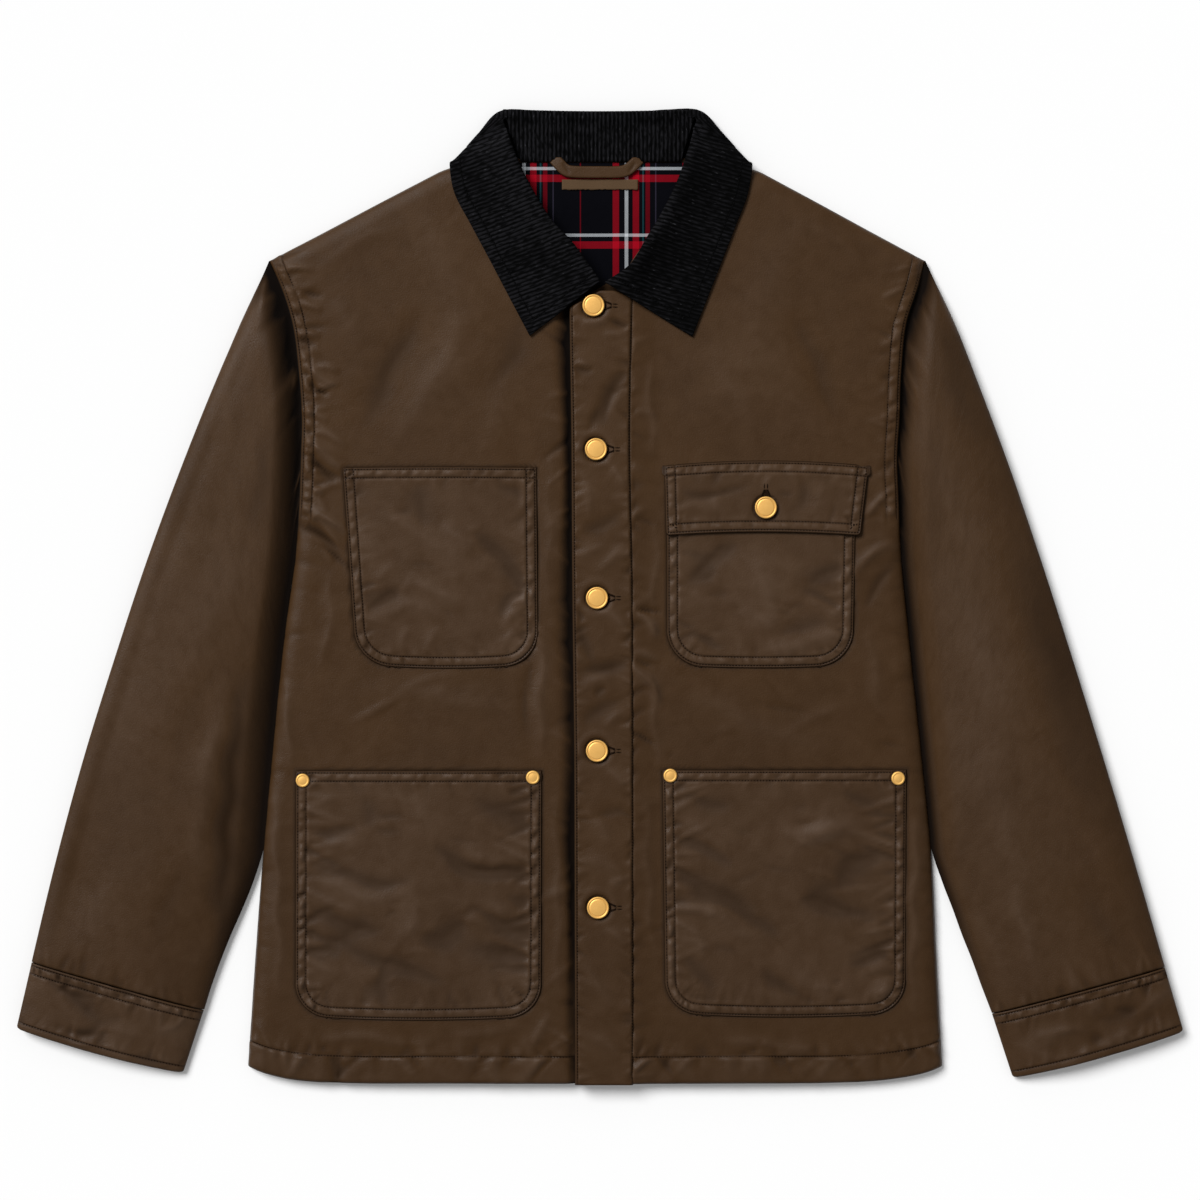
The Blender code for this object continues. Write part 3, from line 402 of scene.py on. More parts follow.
def cloth(name, node, points, material, relief, row, *, wall,
          grain=None, ring=False):
    """Cloth wall on a grid of points in mm (rows, columns, 3) that stands for a CAD node, which it hides,
    with the points' relief and distance from a stitch row kept for the material, and a map in metres along
    the grain."""
    rows, columns = points.shape[:2]
    column = np.arange(columns if ring else columns - 1)
    here = (np.arange(rows - 1)[:, None] * columns + column).ravel()
    ahead = (np.arange(rows - 1)[:, None] * columns + (column + 1) % columns).ravel()
    faces = np.stack([here, ahead, ahead + columns, here + columns], axis=-1)
    mesh = bpy.data.meshes.new(name)
    mesh.vertices.add(rows * columns)
    mesh.vertices.foreach_set("co", (points * MM).astype(np.float32).ravel())
    mesh.loops.add(faces.size)
    mesh.loops.foreach_set("vertex_index", faces.astype(np.int32).ravel())
    mesh.polygons.add(len(faces))
    mesh.polygons.foreach_set("loop_start", np.arange(0, faces.size, 4, dtype=np.int32))
    mesh.polygons.foreach_set("use_smooth", np.ones(len(faces), dtype=bool))
    mesh.update(calc_edges=True)
    for label, values in (("relief", relief), ("row", row)):
        kept = mesh.attributes.new(label, "FLOAT", "POINT")
        kept.data.foreach_set("value", np.broadcast_to(values, (rows, columns)).astype(np.float32).ravel())
    grain = points[..., :2] if grain is None else grain
    map_at = (grain.reshape(-1, 2) * MM)[faces.ravel()]
    mesh.uv_layers.new(name="grain").data.foreach_set("uv", map_at.astype(np.float32).ravel())
    mesh.validate()
    mesh.materials.append(material)
    piece = bpy.data.objects.new(name, mesh)
    scene.collection.objects.link(piece)
    thickness = piece.modifiers.new("wall", "SOLIDIFY")
    thickness.thickness, thickness.offset = wall * MM, -1.0
    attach(piece, "root")
    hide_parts(node)


def side_x(y, side):
    """X of the body's side or armhole at height y; side 0 is the wearer's right, 1 the left."""
    return through(SIDES, y)[..., side]


def hem_y(x):
    """Y of the hem's edge at x."""
    return through(HEM, x)[..., 0]


def seam_y(x):
    """Y of the shoulder seams and the neck at x."""
    return np.interp(x, *np.array(SHOULDERS).T)


def back_rise(y):
    """How far the back lifts off the table towards the neck."""
    return BACK_RISE * smooth_step(286, 318, y)


across = graded(-264.6, 260.2, 5.5, (-264.6, 10, 2.4), (260.2, 10, 2.4))
up = graded(-376, 268, 5.5, (-376, 26, 2.2), (268, 10, 2.4))
hem_x = HEM[0][0] + share(across) * (HEM[-1][0] - HEM[0][0])
at_neck = (across > -80) & (across < 81)
top = np.where(at_neck, through(BACK_NECK, across)[..., 0], seam_y(across))
back_plan = coons(np.stack([hem_x, hem_y(hem_x) + LAY_GAP], -1), np.stack([across, top], -1),
                  np.stack([side_x(up, 0), up], -1), np.stack([side_x(up, 1), up], -1),
                  share(across), share(up))
x, y = back_plan[..., 0], back_plan[..., 1]
lift = np.clip(creases(x, y, BACK_CREASES), 0.0, 1.2)
row = np.abs(y - hem_y(x) - HEM_ROW)
cloth("back_cloth", "back_panel", raised(back_plan, lift + back_rise(y))[:, ::-1], cotton_body,
      lift[:, ::-1], row[:, ::-1], wall=1.3)

# ===== Fronts =====
# Two lined fronts of waxed cotton, the left lapped over the right. Their side and shoulder edges
# roll down to the back, and the armhole edges are topstitched twice over the sleeve seams.
FRONT_HEIGHT, FRONT_CROWN, HEM_DROP = 10.4, 2.4, 1.0
SEAM_EDGE, EDGE_ROLL, ARMHOLE_DIP = 3.2, 14.0, 0.9
FRONT_NECK_RIGHT = [(-80, 352), (-71, 340), (-58, 319), (-44, 296), (-26, 273), (-5, 251), (20, 237)]
FRONT_NECK_LEFT = [
    (-23.5, 231), (-8, 241), (5, 249), (20, 260), (33, 278), (48, 300), (64, 328), (81, 351.5)]
UNDER_EDGE_X = 20.0
PLACKET = [
    (-389.6, -20, 26.4), (-250, -20.4, 26.4), (-123, -20.8, 26.3), (-3, -22.2, 26), (141, -23.2, 23.8),
    (221, -24.4, 25.4), (250, -24.6, 25.8)]
# the patch pockets: left and right end of the top, the same of the bottom, top, bottom, corner
# radius, and how far the top and the bottom bow
POCKETS = [
    ("chest_pocket_right", -205.6, -50.0, -194.4, -48.8, 102.6, -56.5, 29, 0.6, -1.4),
    ("chest_pocket_left", 53.0, 204.6, 53.0, 202.0, 92.0, -56.6, 30, 0.0, -1.0),
    ("hip_pocket_right", -243.0, -46.0, -243.4, -46.4, -139.0, -336.5, 28, 0.0, -2.0),
    ("hip_pocket_left", 49.4, 244.8, 51.8, 244.0, -138.4, -334.0, 28, 0.0, -2.0),
]
PATCH_CLOTH = 1.2
OVERLAP_RAMP = (24.0, 47.0)
ARMHOLE_ROWS = (3.0, 11.0)
# the largest folds, from the CAD model: from x, y, to x, y, half width, height
FOLDS = [
    (-262, 236, -330, 60, 17, 2.2), (-300, 120, -372, -60, 15, 1.6), (-392, -90, -330, -215, 20, -1.6),
    (-270, -60, -330, -190, 16, 1.4), (262, 240, 300, 120, 16, 2.4), (290, 60, 372, -80, 17, 1.5),
    (292, -90, 396, -205, 20, -1.5), (-120, -330, -210, -190, 20, 1.3), (120, -170, 215, -310, 20, 1.3),
    (-150, 190, -60, 110, 26, 0.8), (150, 200, 66, 120, 26, 0.8)]
# creases by the armholes and over the body: from x, y, to x, y, bow, half width, height
FRONT_CREASES = [
    (-236, 186, -206, 166, -4, 3, 1.9), (-234, 173, -212, 160, -3, 2.4, -1.3),
    (-236, 127, -204, 100, 2, 3.2, 1.7), (-238, 114, -212, 90, 2, 3, -1.2),
    (-240, 74, -196, 44, 3, 4, 1.9), (-242, 60, -204, 30, 3, 4, -1.4), (-238, 50, -214, 26, 2, 3, 1.1),
    (-236, 92, -222, 80, 1, 2.5, 1), (-250, 258, -226, 262, 1, 2.2, 1.2),
    (-246, 244, -222, 240, 1, 2.2, -1), (-243, 236, -222, 228, 1, 2.4, 1.2),
    (-242, 214, -222, 205, 1, 2.6, 1.2), (-240, 204, -226, 198, 1, 2.2, -0.9),
    (-240, 150, -218, 140, 2, 2.6, 1.1), (238, 86, 212, 60, -2, 3.4, 1.2),
    (236, 44, 196, 8, -4, 4.5, 1.3), (240, 24, 208, -10, -3, 4, -0.8), (240, 210, 222, 198, 1, 3, 0.9),
    (240, 150, 224, 142, 1, 2.6, 0.8), (244, 246, 226, 238, 1, 2.4, 0.9),
    (238, 176, 224, 172, 1, 2.2, -0.7), (-200, -101, -153, -78, 1, 2.2, 0.7),
    (-160, -75, -110, -62, 2, 3, 0.4), (150, -112, 196, -84, 1, 3, 0.5),
    (120, -80, 170, -96, -1, 3, -0.4), (38, -45, 46, -140, 2, 5, 0.6), (38, -150, 44, -300, -2, 5, 0.5),
    (46, 60, 40, -40, 1, 5, 0.5), (40, 190, 44, 110, -1, 5, 0.6), (-40, 120, -44, -20, 2, 7, 0.5),
    (-45, -20, -47, -132, -1, 6, 0.9), (-36, -150, -34, -330, 2, 5, 0.5),
    (-58, -40, -60, -120, 1, 4, -0.6), (-38, -330, -60, -366, 2, 4, 0.7),
    (-262, -150, -256, -330, 2, 6, 0.8), (255, -160, 250, -340, -2, 6, 0.8),
    (-254, -60, -248, -140, 2, 5, 0.7), (-240, -352, -130, -358, 2, 4, 0.6),
    (90, -352, 180, -360, -2, 4, 0.6), (-120, -352, -60, -345, 2, 4, 0.5),
    (-230, 258, -150, 300, 3, 9, 0.5), (-215, 235, -190, 200, 4, 8, 0.5),
    (220, 262, 150, 300, -3, 9, 0.5), (-160, 330, -110, 200, 10, 18, 0.4),
    (170, 310, 120, 180, -10, 18, 0.4), (-70, 190, -96, 112, 3, 10, 0.4),
    (90, 200, 130, 120, -3, 10, 0.4), (-214, 20, -222, -60, 2, 5, 0.5), (216, -20, 226, -100, -2, 6, 0.5),
    (28, 60, 46, 54, 1, 2, -0.7), (28, -40, 50, -52, 1, 2.4, 0.8), (28, -112, 44, -120, 1, 2.2, -0.8),
    (28, 150, 46, 140, 1, 2.6, 0.6), (-104, 237, -165, 120, 6, 14, 0.9),
    (-140, 225, -190, 130, -4, 12, -0.7), (-60, 230, -90, 150, 3, 12, -0.6),
    (150, 230, 190, 130, 4, 13, -0.6), (-190, -72, -60, -96, 3, 9, 0.6),
    (70, -75, 180, -125, -3, 10, 0.6), (-230, 180, -208, 178, 2, 2, 1.1),
    (-231, 172, -214, 160, -2, 1.8, -1.1), (-233, 166, -210, 168, -2, 2, 1),
    (-232, 134, -200, 118, 3, 2.2, 1), (-234, 121, -206, 92, -2, 2, -1.2),
    (-238, 66, -200, 50, 2, 2.4, 1.1), (-238, 52, -196, 22, -3, 2.6, -1.3),
    (-238, 84, -216, 66, 2, 2.2, 1), (-222, 60, -204, 26, 1, 2.4, 0.9), (28, -11, 45, -33, 2, 2.6, 1.2),
    (28, -10, 48, -15, 1, 2, -1), (27, -52, 46, -88, 3, 3.2, 1.2), (29, -50, 44, -58, 1, 2.2, -1),
    (70, 215, 190, 130, 0, 42, 0.35), (150, 310, 225, 262, 0, 22, -0.35), (20, -4, 50, -36, 2, 3.4, 1),
    (18, -7, 54, -17, 1, 3, -0.45), (18, -44, 50, -92, 3, 4, 1), (18, -45, 54, -57, 1, 3, -0.45)]


def fold_relief(x, y):
    """Sum of the largest folds: each is a soft ridge along a line, fading at both ends."""
    total = np.zeros(np.broadcast(x, y).shape)
    for x0, y0, x1, y1, width, height in FOLDS:
        length, along, across = from_line(x, y, x0, y0, x1, y1)
        ends = np.sin(math.pi * np.clip(along / length, 0.0, 1.0)) ** 0.8
        total = total + height * ends * np.exp(-(across / width) ** 2)
    return total


def rounding(distance, width=EDGE_ROLL):
    """Quarter circle from 0 at an edge to 1 at the given width inside it."""
    q = np.clip(np.asarray(distance, float) / width, 0.0, 1.0)
    return np.sqrt(np.clip(1.0 - (1.0 - q) ** 2, 0.0, 1.0))


def shoulder_distance(x, y):
    """Distance inside the nearer shoulder seam; there is none to come down to at the neck."""
    at_neck = smooth_step(-80, -70, x) * (1.0 - smooth_step(71.0, 81.0, x))
    return (seam_y(x) - y) * math.cos(math.radians(28.0)) + EDGE_ROLL * at_neck


def by_armhole(y):
    """1 beside the open armholes, 0 beside the closed side seams and at the shoulder points."""
    return smooth_step(UNDERARM_Y - 8, UNDERARM_Y + 22, y) * (1.0 - smooth_step(236, SHOULDER_Y, y))


def front_top(x, y):
    """Height of the fronts' outer face: a low pillow with rolled side and shoulder edges."""
    x, y = np.asarray(x, float), np.asarray(y, float)
    plateau = FRONT_HEIGHT + FRONT_CROWN * (1.0 - (x / 262.0) ** 2) + fold_relief(x, y)
    plateau = plateau - HEM_DROP * (1.0 - smooth_step(-389, -335, y))
    inside = np.minimum(x - side_x(y, 0), side_x(y, 1) - x)
    closed = 1.0 - by_armhole(y)
    edge = closed * SEAM_EDGE + (1.0 - closed) * (plateau - ARMHOLE_DIP)
    height = edge + (plateau - edge) * rounding(inside)
    edge = SEAM_EDGE + back_rise(y)
    return edge + (height - edge) * rounding(shoulder_distance(x, y))


def front_left_top(x, y):
    """The wearer's left front lies over the right one along the closing."""
    return front_top(x, y) + (CLOTH + LAY_GAP) * (1.0 - smooth_step(*OVERLAP_RAMP, x))


def front_under(x, y):
    """The front that shows at a point: the right one at -X, the left one at +X."""
    return np.where(np.asarray(x) < 0, front_top(x, y), front_left_top(x, y))


def puckers(run, away, length, seed, spacing=7.0, reach=9.0, width=1.5, height=0.5, lean=0.5):
    """Short soft ridges and hollows off a stitched row. Each has its own place along the row,
    lean, width, height and reach, drawn from the seed."""
    draw = np.random.default_rng(seed)
    total = np.zeros(run.shape)
    place = 0.0
    while place < length:
        place += spacing * draw.uniform(0.45, 1.55)
        size, far = width * draw.uniform(0.7, 1.6), reach * draw.uniform(0.35, 1.5)
        tall = height * draw.uniform(0.3, 1.2) * (1.0 if draw.uniform() < 0.6 else -1.0)
        slope = lean * draw.uniform(-1.0, 1.0)
        total += 1.6 * tall * np.exp(-((run - place - slope * away) / size) ** 2 - (away / far) ** 2)
    return total


def stitched(run, away, length, seed, rows, inward=9.0, strength=1.0):
    """Relief of a seam sewn with one or two rows at the given distances from its edge: a groove
    at each row, a plump cord of leaning ridges between them, and puckers inward of the last."""
    near, far = rows[0], rows[-1]
    relief = sum(-0.55 * np.exp(-((away - row) / 1.0) ** 2) for row in rows)
    if far > near:
        middle = np.clip((away - near) / (far - near), 0.0, 1.0)
        window = np.sin(math.pi * middle)
        ropes = puckers(run + 0.3 * (away - near), away * 0.0, length, seed, 5.4, 9.0, 1.3, 0.85, 0.0)
        relief = relief + window * (0.15 + strength * ropes)
    beyond = np.clip(away - far, 0.0, None)
    window = smooth_step(-0.3, 1.8, away - far)
    return relief + window * strength * puckers(run, beyond, length, seed + 50, 8.0, inward, 1.9, 0.55, 0.6)


def front_detail(x, y):
    """Creases and seam puckers on the fronts, and the distance from the nearest stitch row."""
    inside_right, inside_left = x - side_x(y, 0), side_x(y, 1) - x
    inside = np.minimum(inside_right, inside_left)
    above = y - hem_y(x)
    relief = creases(x, y, FRONT_CREASES)
    armhole = smooth_step(UNDERARM_Y + 4, UNDERARM_Y + 18, y)
    relief = relief + armhole * np.where(
        x < 0, stitched(y + 60.0, inside_right, 340, 3, ARMHOLE_ROWS, 13.0, 1.5),
        stitched(y + 60.0, inside_left, 340, 4, ARMHOLE_ROWS, 10.0, 1.0))
    relief = relief - 4.2 * (1.0 - rounding(inside, 3.2)) * by_armhole(y)
    side_seam = puckers(y + 400.0, np.clip(inside - 3.0, 0, None), 460, 8, 16.0, 12.0, 3.0, 0.4, 0.6)
    relief = relief + (1.0 - armhole) * side_seam
    hem_puckers = stitched(x + 300.0, above, 600, 5, (HEM_ROW,), 12.0, 1.6)
    below_row = puckers(x + 300.0, np.clip(HEM_ROW - above, 0, None), 600, 6, 7.5, 14.0, 2.8, 1.15, 1.1)
    below_row = below_row * smooth_step(0.0, 2.0, HEM_ROW - above)
    turned_up = 0.5 * smooth_step(0.0, 1.6, HEM_ROW - above)
    relief = relief + hem_puckers + below_row + turned_up - 1.3 * (1.0 - rounding(above, 3.0))
    row = np.minimum(np.abs(above - HEM_ROW), NO_ROW)
    for distance in ARMHOLE_ROWS:
        row = np.minimum(row, np.abs(inside - distance) + NO_ROW * (1.0 - armhole))
    return relief, row


def patch_cover(x, y):
    """1 over the ground that the pockets hide, so that nothing pokes through, and 1 from just outside their
    edges inward, where a shadow is painted beside them."""
    cover, edge_shadow = np.zeros(np.broadcast(x, y).shape), np.zeros(np.broadcast(x, y).shape)
    for left_top, right_top, left_low, right_low, top, low, radius in (row[1:8] for row in POCKETS):
        t = np.clip((y - low) / (top - low), 0.0, 1.0)
        left = left_low + t * (left_top - left_low)
        right = right_low + t * (right_top - right_low)
        inward = np.minimum(x - left, right - x)
        corner = radius - np.hypot(radius - np.minimum(inward, radius),
                                   radius - np.minimum(y - low, radius))
        inward = np.minimum(np.minimum(inward, corner), top - y)
        cover = np.maximum(cover, smooth_step(1.0, 4.0, inward))
        edge_shadow = np.maximum(edge_shadow, smooth_step(-2.8, -0.4, inward))
    return cover, edge_shadow


def placket_sides(y):
    """X of the placket's outer and of its inner edge at height y."""
    return np.moveaxis(through(PLACKET, np.clip(y, PLACKET[0][0], PLACKET[-1][0])), -1, 0)


def front_surface(x, y, lapped):
    """Outer face of a front with its detail; the right one sinks into a trough by the placket."""
    relief, row = front_detail(x, y)
    hidden, edge_shadow = patch_cover(x, y)
    open_ground = 1.0 - hidden
    relief = relief * open_ground - 3.0 * hidden
    beside_placket = np.where(x < 0, placket_sides(y)[0] - x, x - 26.0)
    crumpled = open_ground * smooth_step(0.0, 8.0, beside_placket) * smooth_step(260, 190, y)
    relief = relief + crumpled * crumples(x, y, 15, 80, (-250, 230, -370, 60), 0.7, 0.8)
    if lapped:
        inner = placket_sides(y)[1]
        relief = relief - 2.2 * smooth_step(inner + 0.2, inner - 2.4, x)
        beside = x - 26.0
        relief = relief + smooth_step(-1.0, 1.5, beside) * puckers(
            y + 400.0, np.clip(beside, 0, None), 640, 12, 9.0, 10.0, 2.2, 0.6, 0.6) * open_ground
        # painted shadow beside the pocket edges lowers the colour's relief
        return front_left_top(x, y) + relief, relief - 1.6 * edge_shadow, row
    relief = relief - 2.0 * smooth_step(-19.0, -14.0, x)
    beside = placket_sides(y)[0] - x
    open_part = np.exp(-((y + 40.0) / 75.0) ** 2) + 0.7 * np.exp(-((y + 200.0) / 50.0) ** 2)
    deep = 3.4 + 1.6 * smooth_step(90, 190, y) + 1.2 * open_part + 0.8 * np.sin(y / 47.0)
    reach = 3.8 + 3.4 * smooth_step(70, 190, y) + 4.5 * open_part + 0.9 * np.sin(y / 31.0)
    trough = deep * np.exp(-(np.clip(beside - 0.5, 0, None) / reach) ** 2)
    relief = relief + smooth_step(0.0, 3.0, beside) * puckers(
        y + 400.0, np.clip(beside, 0, None), 640, 13, 17.0, 17.0, 2.6, 0.75, 0.9) * open_ground
    # painted shade in the trough by the placket, and painted shadow beside the pocket edges, lower the
    # colour's relief
    return front_top(x, y) - trough + relief, relief - 0.95 * trough - 1.6 * edge_shadow, row


def front_panel(name, node, across, low, high, left, right, lapped):
    """A front on its grid between the hem, side, closing and shoulder edges."""
    plan = coons(low, high, left, right, share(across), share(front_up))
    height, relief, row = front_surface(plan[..., 0], plan[..., 1], lapped)
    cloth(name, node, raised(plan, height), cotton_body, relief, row,
          wall=1.1)


def top_edge(x, neck, neck_from, neck_to):
    """Y of a front's upper edge: along the neck between two X, and along the seam elsewhere."""
    return np.where((x > neck_from) & (x < neck_to), through(neck, x)[..., 0], seam_y(x))


front_up = graded(-376, 268, 2.6, (-376, 24, 1.5), (150, 92, 2.0), (268, 12, 1.3))
across = graded(-264.6, UNDER_EDGE_X, 4.0, (-264.6, 34, 1.5), (-34, 12, 1.3))
low_x = HEM[0][0] + share(across) * (UNDER_EDGE_X - HEM[0][0])
low = np.stack([low_x, hem_y(low_x)], -1)
high = np.stack([across, top_edge(across, FRONT_NECK_RIGHT, -80, 81)], -1)
closing = low[-1] + share(front_up)[:, None] * (high[-1] - low[-1])
front_panel("front_right_cloth", "front_right", across, low, high,
            np.stack([side_x(front_up, 0), front_up], -1), closing, False)

start = PLACKET[0][1] + LAY_GAP
across = graded(FRONT_NECK_LEFT[0][0], 260.2, 4.0, (28, 22, 1.5), (260.2, 26, 1.6))
low_x = start + share(across) * (HEM[-1][0] - start)
low = np.stack([low_x, hem_y(low_x)], -1)
high = np.stack([across, top_edge(across, FRONT_NECK_LEFT, -80, 81)], -1)
edge_y = low[0][1] + share(front_up) * (high[0][1] - low[0][1])
closing = np.stack([placket_sides(edge_y)[0] + LAY_GAP, edge_y], -1)
closing[0], closing[-1] = low[0], high[0]
front_panel("front_left_cloth", "front_left", across, low, high, closing,
            np.stack([side_x(front_up, 1), front_up], -1), True)

y = np.linspace(70.0, 258.0, 300)
rows = []
for side, inward in ((0, 1.0), (1, -1.0)):
    for away in ARMHOLE_ROWS:
        x = side_x(y, side) + inward * away
        rows.append(np.stack([x, y, front_surface(x, y, side == 1)[0] + THREAD_LIFT], axis=-1))
for side, (start_x, end_x) in enumerate(((-277.0, -21.5), (28.0, 269.5))):
    x = np.linspace(start_x, end_x, 300)
    height = front_surface(x, hem_y(x) + HEM_ROW, side == 1)[0]
    rows.append(np.stack([x, hem_y(x) + HEM_ROW, height + HEM_THREAD_LIFT], axis=-1))
sewn("front_stitches", rows)

# ===== Placket =====
# The folded strip of waxed cotton that closes the front: a crisp outer edge stitched close to
# its fold, an inner row drawn into small scallops, and creases that the buttons pull into it.
PLACKET_ROWS = (2.1, 0.9)          # from its outer and from its inner edge
BUTTONS = [(-5.2, 231.2), (-3.2, 116.8), (-2.4, -1.6), (-2.4, -123.2), (-1.6, -248)]
BUTTON_DIAMETER = 17.6
# from x, y, to x, y, bow, half width, height
PLACKET_CREASES = [
    (-19, 186, -6, 183, 1, 2.4, 1.1), (-19, 181, -4, 180, 0, 2.4, -0.9), (-3, 133, 23, 186, 2, 6.8, -0.9),
    (4, 140, 24, 168, 2, 5.4, 0.6), (-16, 214, 14, 219, 3, 4.1, 0.8), (6, 222, 24, 214, 1, 3.2, -1),
    (2, 210, 24, 207, 1, 4.1, 0.6), (-8, 128, -2, 150, 1, 4.1, -0.6), (6, 106, 20, 84, 2, 4.1, 0.7),
    (-18, 100, -6, 60, 3, 5.4, 0.6), (0, 20, 20, 40, 2, 4.9, 0.7), (4, -14, 22, -30, 2, 4.6, 0.7),
    (-18, -20, -6, -60, 2, 5.4, -0.6), (4, -104, 22, -90, 1, 4.1, 0.6), (5, -134, 22, -150, 1, 4.1, 0.7),
    (-16, -170, 10, -200, 3, 6.8, 0.6), (5, -230, 22, -222, 1, 4.1, 0.6),
    (3, -262, 20, -280, 2, 4.6, 0.8), (-16, -290, 8, -330, 3, 6.8, 0.7),
    (-12, -352, 18, -364, 2, 5.4, 0.6), (-20, -62, 24, -50, -3, 5.4, -0.9),
    (-16, -72, 10, -64, 0, 4.7, 0.6), (-4, -80, 4, -72, 1, 3.5, -0.7), (-16, -104, 20, -80, 3, 6.8, -0.6),
    (-20, -10, -14, -22, 1, 3, -0.8), (-21, -14, 20, -18, 3, 5.4, 0.6), (-20, 52, 22, 70, -3, 6.8, -0.6),
    (-18, 30, 4, 42, 2, 5.4, 0.6), (-20, -180, 20, -166, -3, 6.8, -0.6),
    (-18, -212, 18, -220, 3, 6.8, 0.6)]


def placket_surface(x, y):
    """Outer face of the placket: the left front's height moved out, its edges rolled under."""
    outer, inner = placket_sides(y)
    a, b = x - outer, inner - x
    relief = 1.05 * creases(x, y, PLACKET_CREASES)
    for distance, seed in ((a - PLACKET_ROWS[0], 21), (b - PLACKET_ROWS[1], 22)):
        relief = relief - 0.4 * np.exp(-(distance / 0.8) ** 2)
        relief = relief + smooth_step(-0.2, 1.5, distance) * puckers(
            y + 400.0, np.clip(distance, 0, None), 640, seed, 7.0, 8.0, 1.8, 0.6, 0.6)
    row = np.minimum(np.abs(a - PLACKET_ROWS[0]), np.abs(b - PLACKET_ROWS[1]) + 0.5)
    for button_x, button_y in BUTTONS:
        distance = np.hypot(x - button_x, y - button_y)
        # painted shadow ring round each button, carried by the row distance
        row = np.minimum(row, 0.7 * np.abs(distance - 9.2))
        relief = relief - 1.8 * np.exp(-(distance / 10.2) ** 6)
        relief = relief + 0.5 * np.exp(-((distance - 13.5) / 2.6) ** 2)
    relief = relief - 2.4 * (1.0 - rounding(a, 2.4)) - 1.1 * (1.0 - rounding(b, 3.4))
    return front_left_top(x, y) + LAY_GAP + PATCH_CLOTH + relief, relief, row


def placket_plan(across, up):
    """Plan points at shares across and up the placket; its top follows the collar points."""
    x0, x1 = placket_sides(PLACKET[-1][0])
    top = np.interp(x0 + across * (x1 - x0), [-25, 0, 12, 27], [229, 243, 243, 236])
    y = PLACKET[0][0] + up[:, None] * (top - PLACKET[0][0])
    outer, inner = placket_sides(y)
    return np.stack([outer + across * (inner - outer), y], -1)


plan = placket_plan(share(graded(0, 50, 2.2, (0, 5, 0.8), (50, 4, 0.8))), share(graded(0, 630, 1.9)))
height, relief, row = placket_surface(plan[..., 0], plan[..., 1])
cloth("placket_cloth", "placket", raised(plan, height), cotton_trim, relief, row, wall=1.0)

y = np.linspace(-385.0, 224.0, 700)
outer, inner = placket_sides(y)
rows = [np.stack([x, y, placket_surface(x, y)[0] + THREAD_LIFT], axis=-1)
        for x in (outer + PLACKET_ROWS[0], inner - PLACKET_ROWS[1])]
sewn("placket_stitches", rows)

# ===== Patch pockets and flap =====
# Waxed cotton with turned-under edges, sewn on with two rows whose cloth draws up into leaning
# ropes, and puckered inside the inner row. The flap buttons over the wearer's left chest pocket.
PATCH_ROWS, PATCH_SEEDS = (2.0, 8.7), (31, 33, 35, 37, 39)
POCKET_PLUMP = 1.2
FLAP_POCKET = POCKETS[1]
FLAP = ("pocket_flap", 51.0, 214.6, 52.4, 207.8, 104.0, 48.2, 3.0, 4.0, 2.6)
FLAP_FOLD = (104.0, 96.0)
FLAP_BUTTON = (132.0, 70.4)
RIVETS = [(-237, -147), (-53.5, -144.5), (56, -143), (237.6, -145.3)]
RIVET_DIAMETER = 11.0
